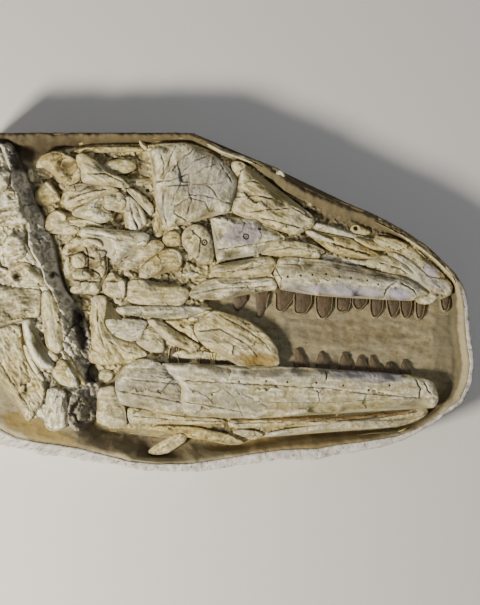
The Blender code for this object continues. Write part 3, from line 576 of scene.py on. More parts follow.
def underside_loops(mesh: bmesh.types.BMesh) -> list[np.ndarray]:
    """Finds the outlines of a solid's flat undersides, the largest first.

    Args:
        mesh: A closed solid that stands on flat faces.

    Returns:
        One anticlockwise outline for each underside, seen from above.
    """
    mesh.verts.index_update()
    low = [f for f in mesh.faces if f.normal.z < -0.9]
    known = set(low)
    onward: dict[int, bmesh.types.BMVert] = {}
    for face in low:
        for link in face.loops:
            if not any(f in known for f in link.edge.link_faces if f != face):
                onward[link.link_loop_next.vert.index] = link.vert
    loops = []
    while onward:
        key, vert = onward.popitem()
        loop = [vert]
        while loop[-1].index in onward:
            loop.append(onward.pop(loop[-1].index))
        loops.append(np.array([v.co.xy for v in loop]))
    return sorted(loops, key=lambda p: -abs(area(p)))


def area(loop: np.ndarray) -> float:
    """Area inside a loop, positive where it runs anticlockwise."""
    ahead = np.roll(loop, -1, 0)
    return float(np.sum(loop[:, 0] * ahead[:, 1] - ahead[:, 0] * loop[:, 1]) / 2)


def worn_outline(loop: np.ndarray, step: float, rough: float, seed: float,
                 corner: float = 6 * MM, grow: float = 0.0) -> np.ndarray:
    """Rounds an outline's corners and gives it the fine wear of a broken edge.

    Args:
        loop: Corners of the outline.
        step: Spacing of the new points, in metres.
        rough: Depth of the wear, in metres, which only cuts inwards.
        seed: Offset of the wear's pattern.
        corner: Length of each side that is rounded off at a corner, in metres.
        grow: How far the outline is moved outwards, in metres.

    Returns:
        The new outline, anticlockwise.
    """
    if area(loop) < 0:
        loop = loop[::-1]
    cut = loop
    for most in (corner, 0.5 * corner):
        ahead = np.roll(cut, -1, 0)
        run = ahead - cut
        share = np.minimum(0.25, most / np.maximum(np.hypot(*run.T), 1e-6))[:, None]
        cut = np.stack([cut + run * share, ahead - run * share], 1).reshape(-1, 2)
    closed = np.vstack([cut, cut[:1]])
    lengths = np.hypot(*np.diff(closed, axis=0).T)
    travel = np.concatenate([[0], np.cumsum(lengths)])
    count = max(12, int(travel[-1] / step))
    marks = np.linspace(0, travel[-1], count, endpoint=False)
    even = np.column_stack([np.interp(marks, travel, closed[:, i]) for i in (0, 1)])
    run = np.roll(even, -1, 0) - np.roll(even, 1, 0)
    inward = np.column_stack([-run[:, 1], run[:, 0]])
    inward /= np.maximum(np.hypot(*inward.T), 1e-9)[:, None]
    depth = rough * np.clip(0.5 + wave(even, 0.011, seed, 3), 0, 1) - grow
    return even + inward * depth[:, None]


def tree_of(pieces: Iterable[bpy.types.Object]) -> BVHTree:
    """Joins the faces of some pieces, for looking down on them.

    Args:
        pieces: Pieces with their places in their meshes.

    Returns:
        A tree of all their faces.
    """
    mesh = bmesh.new()
    for piece in pieces:
        mesh.from_mesh(piece.data)
    tree = BVHTree.FromBMesh(mesh)
    mesh.free()
    return tree


def look_down(tree: BVHTree, x: float, y: float) -> Vector | None:
    """Gives the highest point over a place, or nothing where no face lies."""
    return tree.ray_cast(Vector((x, y, 1.0)), DOWN)[0]


def dress(name: str, points: np.ndarray, faces: Sequence[Sequence[int]], finish: Finish,
          values: dict[str, np.ndarray], flat: int = 0) -> bpy.types.Object:
    """Makes a piece from its points and faces, with what its material reads.

    Args:
        name: Name of the piece.
        points: Its points, in metres.
        faces: Its faces, as rows of point numbers.
        finish: Its finish.
        values: Relief, crack, paint and grain, each with one row for every point.
        flat: How many of the last faces are shaded flat.

    Returns:
        The piece, in the scene and riding on the slab.
    """
    mesh = bpy.data.meshes.new(name)
    mesh.from_pydata(points.tolist(), [], faces)
    for key, (kind, member) in ATTRIBUTES.items():
        store = mesh.attributes.new(key, kind, "POINT")
        store.data.foreach_set(member, values[key].ravel().astype(np.float32))
    mesh.polygons.foreach_set("use_smooth", [True] * (len(faces) - flat) + [False] * flat)
    mesh.validate()
    mesh.materials.append(Shelf.material(finish))
    piece = bpy.data.objects.new(name, mesh)
    bpy.context.collection.objects.link(piece)
    LOG.info("%s: %d faces", name, len(mesh.polygons))
    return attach(piece, "root")


class Relief:
    """One fine surface: an outline, a height over it, straight sides and a flat underside."""

    # Rows of points down the sides, and their relief, which is painted shade: at the top, and its
    # change to the foot.
    SIDE_ROWS = 3
    SIDE_SHADE = (-0.1, -0.5)

    # Depth in millimetres of the lumps, folds, grain and fine roughness of old bone.
    LUMPS, FOLDS, GRAINS, FINE = 2.9, 2.4, 0.35, 0.6

    # Cracked plates stand this much higher or lower than the next, in millimetres, and the
    # seams between them are this deep and this dark.
    PLATE_STEP, SEAM_DEPTH, SEAM_TONE = 1.7, 1.5, 0.62

    # Marks are cut a little deeper and darker than their tables say, to show from above.
    MARK_DEPTH = 1.4
    MARK_TONE = 1.3

    # Rounds of smoothing that level a surface, and how far below that level the painted shade is
    # full.
    SMOOTHING = 14
    DEEP_HOLLOW = 1.7 * MM

    def __init__(self, name: str, loop: np.ndarray, base: float, step: float,
                 height_at: Callable[[np.ndarray, np.ndarray], np.ndarray]) -> None:
        """Lays the surface's points.

        Args:
            name: Name of the piece.
            loop: Outline of the piece, anticlockwise.
            base: Height of its underside.
            step: Spacing of its points.
            height_at: Gives the height at places that lie at a given depth inside the outline.
        """
        self.name, self.base, self.rim = name, base, len(loop)
        low, high = loop.min(0), loop.max(0)
        row = step * math.sqrt(3) / 2
        xs, ys = np.arange(low[0], high[0], step), np.arange(low[1], high[1], row)
        grid = np.stack(np.meshgrid(xs, ys), 2)
        grid[1::2, :, 0] += step / 2
        grid = grid.reshape(-1, 2)
        grid = grid[inside(grid, loop)]
        depth = line_distance(grid, loop, closed=True)
        grid, depth = grid[depth > 0.55 * step], depth[depth > 0.55 * step]
        places = np.vstack([loop, grid])
        corners, _, faces, *_ = delaunay_2d_cdt(
            [Vector(p) for p in places], [], [list(range(len(loop)))], 1, 1e-7, False)
        if len(corners) != len(places):
            LOG.warning("%s: %d points became %d", name, len(places), len(corners))
        self.places = np.array([c[:] for c in corners])
        self.depth = np.zeros(len(corners))
        self.depth[len(loop):len(places)] = depth[:len(corners) - len(loop)]
        self.faces = np.array(faces)
        ends = np.vstack([self.faces[:, [0, 1]], self.faces[:, [1, 2]], self.faces[:, [2, 0]]])
        self.ends = np.unique(np.sort(ends, 1), axis=0)
        self.height = height_at(self.places, self.depth)
        self.tuck = 0.0
        self.crack = np.zeros(len(corners))
        self.paint = np.zeros((len(corners), 4))
        self.grain = np.column_stack([self.places, np.zeros(len(corners))])

    def smoothed(self, values: np.ndarray, rounds: int) -> np.ndarray:
        """Averages values with their neighbours.

        Args:
            values: One value for each point.
            rounds: How many times to average.

        Returns:
            The smoothed values.
        """
        count = len(values)
        a, b = self.ends.T
        share = np.bincount(a, minlength=count) + np.bincount(b, minlength=count) + 1
        for _ in range(rounds):
            total = values + np.bincount(a, values[b], count) + np.bincount(b, values[a], count)
            values = total / share
        return values

    def weather(self, detail: Detail, seed: float, strength: float = 1.0) -> None:
        """Adds the lean, folds, lumps, grain and fine cracks of old bone or rock.

        Args:
            detail: Grain direction, roughness, lean and cell size.
            seed: Offset of the patterns.
            strength: Share of the usual depth.
        """
        along = turned(self.places, detail.grain)
        self.grain = drawn_out(along)
        if detail.rise:
            side = turned(self.places, detail.lean)[:, 0]
            share = (side - side.min()) / max(np.ptp(side), 1e-6) - 0.7
            self.height = self.height + detail.rise * CM * share
        lumps = wave(self.places, 45 * MM, seed, 3)
        folds = 0.5 - np.abs(wave(along * [0.3, 1], 22 * MM, seed + 5, 3))
        grains = wave(along * [0.14, 1], 5 * MM, seed + 7, 3)
        fine = wave(self.places, 5.5 * MM, seed + 3, 3)
        settle = np.clip(self.depth / (3 * MM), 0, 1)
        self.height = self.height + strength * detail.rough * MM * settle * (
            self.LUMPS * lumps + self.FOLDS * folds + self.GRAINS * grains + self.FINE * fine)
        if detail.cells > 0:
            bent = along + 7 * MM * wander(self.places, 20 * MM, (seed + 11, seed + 17))
            seam, step = shards(bent * [0.45, 1], detail.cells * CM, seed)
            keep = np.clip(2.0 * wave(self.places, 70 * MM, seed + 23, 2) + 0.45, 0, 1)
            line = np.clip(1 - seam / (0.14 / detail.cells + 0.012), 0, 1) * keep
            steps = self.PLATE_STEP * detail.plates * step * keep - self.SEAM_DEPTH * line
            self.height += strength * MM * settle * steps
            self.crack = np.maximum(self.crack, self.SEAM_TONE * line)

    def carve(self, detail: Detail) -> None:
        """Cuts the strokes and spots, and paints the stains.

        Args:
            detail: The marks of this piece.
        """
        flat = self.places / CM
        for mark in (*detail.strokes, *detail.spots):
            share = mark.cut(flat)
            self.height -= self.MARK_DEPTH * mark.depth * CM * share
            dark = min(1.0, self.MARK_TONE * mark.dark)
            self.crack = np.maximum(self.crack, dark * share ** 1.2)
        for stain in detail.stains:
            cover = stain.cover(flat)
            self.paint[:, :3] += cover[:, None] * (np.array(linear(stain.colour)[:3])
                                                   - self.paint[:, :3])
            self.paint[:, 3] = np.maximum(self.paint[:, 3], cover)

    def finish(self, finish: Finish, low: float = 0.0, tone: float = 1.0) -> bpy.types.Object:
        """Closes the surface into a solid with its colour attributes.

        Args:
            finish: Finish of the piece.
            low: The least height above the underside.
            tone: Share of the usual painted highlight on ridges and painted shade in hollows.

        Returns:
            The piece, in the scene and riding on the slab.
        """
        self.height = np.clip(self.height, self.base + low, HIGHEST)
        # Painted light from the relief: a painted highlight above the smoothed surface, painted
        # shade below it.
        hollow = self.height - self.smoothed(self.height, self.SMOOTHING)
        relief = np.clip(hollow / self.DEEP_HOLLOW, -1, 1)
        relief *= tone * np.clip(0.25 + self.depth / (8 * MM), 0, 1)
        top, rim = np.column_stack([self.places, self.height]), self.rim
        rows, shades = [top], [relief]
        # The sides get painted shade that darkens towards the foot.
        for row in range(1, self.SIDE_ROWS + 1):
            share = row / self.SIDE_ROWS
            side = top[:rim].copy()
            side[:, :2] *= 1 - self.tuck * share
            side[:, 2] = top[:rim, 2] * (1 - share) + self.base * share
            rows.append(side)
            shades.append(np.full(rim, self.SIDE_SHADE[0] + self.SIDE_SHADE[1] * share))
        starts = [0] + [len(top) + rim * i for i in range(self.SIDE_ROWS)]
        faces = [tuple(f) for f in self.faces]
        faces += [(upper + i, lower + i, lower + (i + 1) % rim, upper + (i + 1) % rim)
                  for upper, lower in zip(starts, starts[1:]) for i in range(rim)]
        faces.append(tuple(starts[-1] + i for i in reversed(range(rim))))
        source = np.concatenate([np.arange(len(top))] + [np.arange(rim)] * self.SIDE_ROWS)
        return dress(self.name, np.vstack(rows), faces, finish, {
            "relief": np.concatenate(shades), "crack": self.crack[source],
            "paint": self.paint[source], "grain": self.grain[source]})


def surface_of(mesh: bmesh.types.BMesh) -> Callable[[np.ndarray, np.ndarray], np.ndarray]:
    """Gives a function that reads a solid's top height at places inside its outline.

    Args:
        mesh: The solid.

    Returns:
        A function from places and depths to heights.
    """
    tree = BVHTree.FromBMesh(mesh)

    def height_at(places: np.ndarray, depth: np.ndarray) -> np.ndarray:
        """Looks down on the solid, or on its nearest point beside its outline.

        Args:
            places: Points, one in each row.
            depth: How far inside each lies, not needed here.

        Returns:
            One height for each point.
        """
        found = []
        for x, y in places:
            hit = look_down(tree, x, y)
            if hit is None or hit.z < 20 * MM:
                near = tree.find_nearest(Vector((x, y, 130 * MM)))[0]
                hit = look_down(tree, near.x, near.y) or near
            found.append(hit.z)
        return np.array(found)

    return height_at


def tops(nodes: Iterable[str]) -> Callable[[np.ndarray], np.ndarray]:
    """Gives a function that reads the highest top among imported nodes, or nothing beside them.

    Args:
        nodes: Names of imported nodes.

    Returns:
        A function from places to heights, which are not numbers where no node lies.
    """
    tree = tree_of(frame["nodes"][node] for node in nodes)

    def height_at(places: np.ndarray) -> np.ndarray:
        """Looks straight down on the nodes."""
        hits = (look_down(tree, x, y) for x, y in places)
        return np.array([np.nan if hit is None else hit.z for hit in hits])

    return height_at


def crown_outline(loop: np.ndarray) -> np.ndarray:
    """Widens a packed tooth's outline a little and roots it further into its bone.

    Args:
        loop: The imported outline.

    Returns:
        The crown's outline.
    """
    middle = loop.mean(0)
    tip = loop[np.argmax(np.hypot(*(loop - middle).T))]
    fixed = [middle[0], tip[1]]
    return fixed + (loop - fixed) * [1.2, 1.14]


@dataclass
class BoneGroup:
    """A group of bones that lie together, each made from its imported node.

    A bone's rim is rounded over the width of the edge and nibbled as deep as the wear, and the
    overlap carries it over the seam of rock beside it.
    """

    finish: dict[str, Finish] = field(default_factory=dict)
    details: dict[str, Detail] = field(default_factory=dict)
    step: float = 2.1 * MM
    tooth_step: float = 1.3 * MM
    tooth_rise: float = 8.5 * MM
    edge: float = 3.2 * MM
    wear: float = 1.3 * MM
    overlap: float = 1.9 * MM
    least_tooth: float = 30 * MM * MM

    def build(self) -> list[bpy.types.Object]:
        """Builds every bone of the group.

        Returns:
            The finished pieces.
        """
        made: list[bpy.types.Object] = []
        for number, (name, finish) in enumerate(self.finish.items()):
            made += self.bone(name, finish, 1.0 + 5.3 * number + len(name))
        return made

    def bone(self, name: str, finish: Finish, seed: float) -> list[bpy.types.Object]:
        """Builds one bone and its teeth.

        Args:
            name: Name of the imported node.
            finish: Finish of the bone.
            seed: Offset of its patterns.

        Returns:
            The bone, and its teeth as one piece where it has any.
        """
        mesh = joined_copy(frame["nodes"][name])
        loops = underside_loops(mesh)
        base = min(v.co.z for v in mesh.verts)
        detail = self.details.get(name, Detail())
        outline = worn_outline(loops[0], self.step, self.wear, seed, grow=self.overlap)
        piece = Relief(f"{name}_relief", outline, base, self.step, surface_of(mesh))
        piece.height = piece.smoothed(piece.height, piece.SMOOTHING)
        piece.height -= 0.5 * self.edge * (1 - round_over(piece.depth / self.edge))
        piece.weather(detail, seed)
        piece.carve(detail)
        solid = piece.finish(finish, low=4 * MM)
        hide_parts(name)
        slot_of(name)
        made = [solid]
        teeth = [self.tooth(f"{name}_tooth_{i}", loop, base, seed + i)
                 for i, loop in enumerate(loops[1:]) if abs(area(loop)) > self.least_tooth]
        if teeth:
            made.append(join(teeth, f"{name}_teeth"))
        mesh.free()
        return made

    def tooth(self, name: str, loop: np.ndarray, base: float, seed: float) -> bpy.types.Object:
        """Builds one tooth crown, rounded across and rooted a little way into its bone.

        Args:
            name: Name of the crown.
            loop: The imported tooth's outline.
            base: Height of its underside.
            seed: Offset of its patterns.

        Returns:
            The crown.
        """
        grown = worn_outline(crown_outline(loop), self.tooth_step, 0, seed, 3 * MM)

        def height_at(places: np.ndarray, depth: np.ndarray) -> np.ndarray:
            """Rounds the crown over from its edges."""
            share = 1 - depth / np.maximum(depth.max(), 1e-4)
            return base + self.tooth_rise * np.sqrt(0.5 * np.clip(1 - share ** 2, 0, 1) + 0.45)

        piece = Relief(name, grown, base, self.tooth_step, height_at)
        piece.weather(Detail(grain=90, rough=0.5, cells=0), seed, 0.6)
        return piece.finish(Finish.ENAMEL, tone=0.5)


def join(pieces: Sequence[bpy.types.Object], name: str) -> bpy.types.Object:
    """Joins pieces of one finish into one piece.

    Args:
        pieces: Pieces that share a material.
        name: Name of the joined piece.

    Returns:
        The joined piece, riding on the slab.
    """
    with bpy.context.temp_override(active_object=pieces[0], selected_editable_objects=pieces):
        bpy.ops.object.join()
    joined = pieces[0]
    joined.name = name
    joined.data.name = name
    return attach(joined, "root")


def slot_of(node: str) -> str:
    """Names the record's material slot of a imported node.

    Args:
        node: Name of the node.

    Returns:
        Name of the slot.
    """
    for part in frame["record"]["subparts"]:
        if part["node"] == node:
            return part["material_slot"]
    raise KeyError(node)


# Assemblies

PALE, CREAM, OCHRE = Finish.PALE_BONE, Finish.CREAM_BONE, Finish.OCHRE_BONE
LILAC, AMBER, OLIVE, EARTH = "AFA8B2", "937632", "857A44", "66542C"


@dataclass
class LowerJaw(BoneGroup):
    """Dentary with its teeth, and the bones behind and under it."""

    finish: dict[str, Finish] = field(default_factory=lambda: {
        "dentary": PALE, "surangular": PALE, "articular": CREAM, "angular": CREAM,
        "splenial": CREAM, "lower_margin": PALE, "jaw_splint": CREAM, "prearticular": OCHRE,
        "coronoid_plate": CREAM})
    details: dict[str, Detail] = field(default_factory=lambda: {
        "dentary": Detail(
            grain=-4, cells=5.5, rough=0.8,
            strokes=(
                Stroke(((26.2, -17.6), (26.7, -19.2), (26.3, -20.7)), 0.3, 0.45),
                Stroke(((-10.6, -20.4), (0, -20.9), (12, -21.6), (27, -22.3), (34, -23.5),
                        (42, -24.2), (51, -25)), 0.24, 0.22),
                Stroke(((22, -28.2), (25, -26), (24.2, -23), (21.5, -22.5)), 0.2, 0.2),
                Stroke(((-4.5, -24), (0, -22.5), (3, -25), (5, -30)), 0.18, 0.16, 0.55),
                Stroke(((-10.4, -25.8), (0, -27.6), (8, -29.2)), 0.2, 0.18),
                Stroke(((12, -26), (26, -26.2), (38, -25.4), (49, -25.2)), 0.2, 0.12, 0.5),
                Stroke(((39.5, -18.4), (38.8, -20), (42, -20.8)), 0.16, 0.14, 0.5),
                Stroke(((49.6, -20), (51, -22.4), (50.6, -25)), 0.3, 0.3, 0.7),
                Stroke(((52, -20.6), (53, -23), (54.6, -25)), 0.3, 0.3, 0.6),
            ),
            spots=tuple(Spot(x, y, 0.34, 0.3, 0.9) for x, y in (
                (4, -20.6), (11, -20.5), (16.5, -20.7), (24, -20.9), (31, -21.6), (37.6, -22.8),
                (-3, -24), (43, -21.6))),
            stains=(
                Stain(37, -19.3, 12, 1.5, LILAC, 0.75, -3),
                Stain(16, -18.6, 12, 1.2, "A9A294", 0.5),
                Stain(30, -26.6, 22, 1.6, "B7A764", 0.55, 3),
                Stain(0, -27, 12, 3, "BDB391", 0.4),
            )),
        "surangular": Detail(grain=-8, cells=4.5, strokes=(
            Stroke(((-27.6, -23), (-19, -24.4), (-10.2, -26.2)), 0.25, 0.26),
            Stroke(((-26.6, -20), (-18, -20.6), (-10.6, -21.4)), 0.22, 0.18, 0.6),
            Stroke(((-24, -17.2), (-18, -17.4), (-13, -19)), 0.2, 0.14, 0.5),
        ), stains=(Stain(-20, -24, 10, 4, "A09674", 0.6),
                   Stain(-19, -18.6, 8, 1.6, "B0A88A", 0.5))),
        "angular": Detail(grain=-4, cells=3.5, strokes=(
            Stroke(((-24, -29.6), (-14, -30.6), (0, -31.2)), 0.2, 0.2),)),
        "splenial": Detail(grain=1, cells=4.0, strokes=(
            Stroke(((2, -31.6), (16, -31.2), (28, -31), (40, -30.2), (51, -28.4)), 0.22, 0.2),),
            stains=(Stain(20, -30.4, 22, 0.7, "6E5220", 0.85),
                    Stain(40, -29.4, 12, 0.9, "7A5C26", 0.85, 6))),
        "lower_margin": Detail(grain=4, cells=3.0, stains=(
            Stain(40, -31.4, 12, 1.0, "CFC294", 0.6),)),
        "coronoid_plate": Detail(grain=-60, strokes=(
            Stroke(((-33, 0), (-32.6, -7), (-31, -12)), 0.3, 0.2, 0.5),
            Stroke(((-30, -10), (-25, -13), (-20.5, -14)), 0.25, 0.2, 0.6),)),
    })


@dataclass
class UpperJaw(BoneGroup):
    """Maxilla, premaxilla and the bones of the snout, with the upper teeth."""

    finish: dict[str, Finish] = field(default_factory=lambda: {
        "maxilla": PALE, "maxilla_rear": PALE, "premaxilla": PALE, "septomaxilla": CREAM,
        "narial_plate": OCHRE, "snout_plate": CREAM, "nasal_bar": PALE})
    details: dict[str, Detail] = field(default_factory=lambda: {
        "maxilla": Detail(
            grain=-8, cells=5.0, rough=0.8,
            strokes=(
                Stroke(((44.8, 5.6), (42, 3.2), (41.6, 1.2)), 0.25, 0.4),
                Stroke(((44.8, 5.4), (49.2, 3.2), (50, 1.8)), 0.25, 0.35),
                Stroke(((13.2, 9.4), (15, 6), (14.6, 3)), 0.25, 0.25, 0.6),
                Stroke(((14, 9.8), (25, 9.6), (38, 7.2), (46, 5.8)), 0.2, 0.14, 0.5),
                Stroke(((20, 5), (22.6, 4.4), (24, 2.6)), 0.2, 0.16, 0.5),
            ),
            spots=tuple(Spot(x, y, 0.36, 0.3, 0.9) for x, y in (
                (16.6, 6.6), (20, 6.9), (23, 7.1), (26.6, 7.3), (30, 6.6), (33, 6.3),
                (37.2, 5.6), (40, 4.6))),
            stains=(
                Stain(30, 3, 14, 1.6, LILAC, 0.8, -4),
                Stain(45.4, 2.2, 3.6, 1.6, "B9B2C4", 0.8, -10),
                Stain(18, 4, 4, 1.6, "A79F97", 0.5),
                Stain(29, 7.8, 17, 1.8, "85784F", 0.6, -5),
            )),
        "maxilla_rear": Detail(grain=3, cells=3.4, strokes=(
            Stroke(((-8, 2.2), (0, 3.6), (12, 4)), 0.25, 0.22, 0.6),
            Stroke(((-4, 4.6), (4, 5), (12, 5.6)), 0.2, 0.16, 0.5),
        ), stains=(Stain(-6, 2.4, 4, 1.6, OLIVE, 0.5), Stain(6, 2.4, 6, 0.9, EARTH, 0.5))),
        "premaxilla": Detail(grain=-38, cells=3.6, stains=(
            Stain(55, 4.8, 4, 1.6, LILAC, 0.6, -20),)),
        "snout_plate": Detail(grain=-30, cells=3.0, stains=(
            Stain(54, 8.2, 2.6, 1.8, "C4BDCB", 0.8, -30),)),
        "septomaxilla": Detail(grain=-30, strokes=(
            Stroke(((40, 10.4), (46, 8.6), (52, 3.6)), 0.25, 0.3, 0.7),)),
        "narial_plate": Detail(grain=-16, strokes=(
            Stroke(((23, 17.4), (30, 14.6), (38, 12.2)), 0.4, 0.5, 0.7),)),
        "nasal_bar": Detail(grain=-14),
    })


@dataclass
class Palate(BoneGroup):
    """Bones of the palate, seen between the jaws."""

    finish: dict[str, Finish] = field(default_factory=lambda: {
        "pterygoid": CREAM, "pterygoid_root": CREAM, "ectopterygoid": CREAM, "palatine": CREAM,
        "transverse_lobe": PALE, "vomer": OCHRE, "jugal_bar": PALE})
    details: dict[str, Detail] = field(default_factory=lambda: {
        "pterygoid": Detail(
            grain=-30, cells=4.2, plates=1.8,
            strokes=(
                Stroke(((-7, -7.6), (-1, -7), (6, -11), (9, -14.4)), 0.3, 0.3, 0.6),
                Stroke(((-2, -3), (4, -6), (10, -10), (12.6, -13.4)), 0.25, 0.2, 0.5),
                Stroke(((-6, -10), (-2, -10.4), (1, -12.4)), 0.25, 0.2, 0.6),
            ),
            stains=(
                Stain(8.6, -15.1, 6.0, 2.0, AMBER, 0.85),
                Stain(3, -5, 5, 1.4, "A28C46", 0.5, -30),
                Stain(-2, -9, 5, 2, "DAD2AC", 0.4),
            )),
        "jugal_bar": Detail(grain=-2, cells=3, stains=(Stain(-18, -3.4, 9, 0.7, OLIVE, 0.6),)),
        "transverse_lobe": Detail(grain=-10, cells=4),
        "ectopterygoid": Detail(grain=-40, cells=2.6, stains=(
            Stain(-12, -9, 5, 1.2, OLIVE, 0.5, -40),)),
        "vomer": Detail(grain=-35),
    })


@dataclass
class FaceAndRoof(BoneGroup):
    """Frontal, prefrontal, nasal and the bones round the orbit."""

    finish: dict[str, Finish] = field(default_factory=lambda: {
        "frontal": PALE, "prefrontal": PALE, "nasal_roof": CREAM, "lacrimal": CREAM,
        "jugal": CREAM, "orbit_plate": CREAM, "postorbital_bar": OCHRE, "postorbital": CREAM})
    details: dict[str, Detail] = field(default_factory=lambda: {
        "frontal": Detail(
            grain=72, cells=5, plates=2.4,
            strokes=(
                Stroke(((-13.6, 33.6), (-11.4, 36.6), (-7.4, 40)), 0.28, 0.26, 0.7),
                Stroke(((-10.6, 33.8), (-7.6, 36.6), (-3, 38.4)), 0.28, 0.26, 0.7),
                Stroke(((-8, 32.6), (-5, 34.8), (-1.6, 36)), 0.22, 0.2, 0.6),
                Stroke(((-14.6, 34.8), (-14, 37.4), (-12.4, 40.6)), 0.26, 0.22, 0.6),
                Stroke(((-17.6, 31.2), (-14, 31.4), (-9, 33.2), (-8.8, 30.4), (-15, 30)),
                       0.26, 0.28),
                Stroke(((-10.4, 27.6), (-6, 27.8), (-1, 26.4), (1.8, 25.4)), 0.26, 0.26),
                Stroke(((-12.6, 26), (-13, 23), (-9, 20.6)), 0.24, 0.22),
                Stroke(((-12.8, 24.6), (-9, 27), (-5, 26), (-3.6, 23.4)), 0.22, 0.2),
                Stroke(((1.8, 34), (-1, 30.6), (-8.6, 30.6)), 0.2, 0.16, 0.5),
                Stroke(((-15.6, 29), (-15.8, 24), (-14.8, 20)), 0.3, 0.26, 0.5),
                Stroke(((-16.4, 38.4), (-15.4, 35.4), (-16, 32.6)), 0.26, 0.22, 0.7),
                Stroke(((-1, 36), (0.6, 33.4), (2.2, 31)), 0.26, 0.24, 0.7),
                Stroke(((-9.4, 30.2), (-8.4, 26.4), (-9.6, 22.6)), 0.26, 0.26),
                Stroke(((-4.6, 30.4), (-2.6, 28.8), (-1.6, 26.6)), 0.24, 0.24),
            ),
            stains=(
                Stain(-6, 32, 9, 7, "C8C4B6", 0.55), Stain(-15, 25, 2, 5, "B9B7A6", 0.4),
                Stain(-8, 24, 5, 2, "AB9B63", 0.5),
            )),
        "prefrontal": Detail(
            grain=-10, cells=4.5, plates=1.8,
            strokes=(
                Stroke(((-1.6, 13.6), (4, 14.4), (9, 15.2), (16, 16.6)), 0.24, 0.2),
                Stroke(((9, 13), (8.4, 15), (9.8, 17), (9, 20)), 0.2, 0.16, 0.5),
            ),
            spots=(Spot(5.8, 17, 0.9, 0.34, 0.9, True), Spot(5.8, 17, 0.4, 0.3, 0.7),
                   Spot(9.3, 19, 0.55, 0.4, 0.95)),
            stains=(Stain(5, 17.6, 6, 3.4, "B3AEB8", 0.7), Stain(1, 12.4, 4, 1.2, OLIVE, 0.5),)),
        "nasal_roof": Detail(grain=-28, cells=3.8, plates=2.2, strokes=(
            Stroke(((2.8, 27.2), (8, 27.6), (12.8, 26.8)), 0.3, 0.3),
            Stroke(((4, 30.4), (7, 31.4), (9.6, 30.8)), 0.26, 0.24, 0.6),
            Stroke(((3.6, 31.6), (4.4, 34), (6, 35)), 0.3, 0.3, 0.5),
            Stroke(((6.6, 23.2), (12, 24), (18, 24.4), (22.8, 21.6)), 0.26, 0.26),
            Stroke(((8.6, 22), (14, 20.8), (20.8, 19)), 0.28, 0.3),
        )),
        "lacrimal": Detail(grain=-6, cells=3.6, strokes=(
            Stroke(((10, 12.8), (17, 14.2), (25, 12.8)), 0.22, 0.2, 0.6),)),
        "jugal": Detail(grain=10, cells=3.4, strokes=(
            Stroke(((-3, 7.6), (3, 8), (12, 10)), 0.24, 0.2, 0.6),)),
        "orbit_plate": Detail(grain=60, cells=3.4, spots=(
            Spot(-5.0, 15.5, 0.9, 0.34, 0.9, True), Spot(-5.0, 15.5, 0.36, 0.3, 0.9),),
            strokes=(Stroke(((-8.6, 19), (-6, 16.6), (-6.4, 12), (-7.6, 11)), 0.35, 0.3, 0.6),),
            stains=(Stain(-5, 13, 3, 3, OLIVE, 0.45),)),
    })


@dataclass
class BackOfSkull(BoneGroup):
    """Temporal arches, quadrate and braincase."""

    finish: dict[str, Finish] = field(default_factory=lambda: {
        "squamosal": CREAM, "quadrate": OCHRE, "temporal_bar": PALE, "parietal_ramus": CREAM,
        "prootic": PALE, "parietal_plate": CREAM, "parietal_block": CREAM,
        "parietal_ledge": OCHRE, "arch_outer": CREAM, "arch_inner": PALE, "braincase": CREAM,
        "exoccipital": CREAM, "basisphenoid": OCHRE})
    details: dict[str, Detail] = field(default_factory=lambda: {
        "temporal_bar": Detail(grain=-12, cells=3.6, strokes=(
            Stroke(((-36, 17.8), (-30, 16.8), (-24, 15.4)), 0.26, 0.22, 0.5),)),
        "squamosal": Detail(grain=-30, cells=3.2, strokes=(
            Stroke(((-37, 33), (-31, 33.4), (-26, 31)), 0.3, 0.3, 0.6),)),
        "quadrate": Detail(grain=30, cells=3, stains=(Stain(-41.4, 35, 2.6, 2, EARTH, 0.6),)),
        "parietal_ramus": Detail(grain=20, cells=3.2, strokes=(
            Stroke(((-40, 27), (-35, 28.6), (-30, 29.4)), 0.3, 0.34, 0.6),
            Stroke(((-38, 26), (-34, 27.4)), 0.24, 0.26, 0.6),)),
        "arch_inner": Detail(grain=-66, cells=2.4, strokes=(
            Stroke(((-24.6, 26.6), (-23.6, 22), (-22, 18.6)), 0.4, 0.5, 0.7),)),
        "arch_outer": Detail(grain=-50, cells=2.6),
        "braincase": Detail(grain=40, cells=2.0, rough=2.2, plates=2.0, stains=(
            Stain(-36, 10, 6, 5, "8A7A50", 0.6), Stain(-38, 4, 3, 3, "6E6038", 0.6)), strokes=(
            Stroke(((-41, 12), (-37, 12.6), (-33, 11)), 0.4, 0.6, 0.7),
            Stroke(((-38, 8.8), (-35, 9), (-32, 7)), 0.35, 0.5, 0.7),
            Stroke(((-36, 14.8), (-35, 12), (-35.4, 8)), 0.3, 0.4, 0.7),
            Stroke(((-39.6, 6), (-36, 5.2), (-32.6, 5.4)), 0.35, 0.5, 0.7),)),
    })


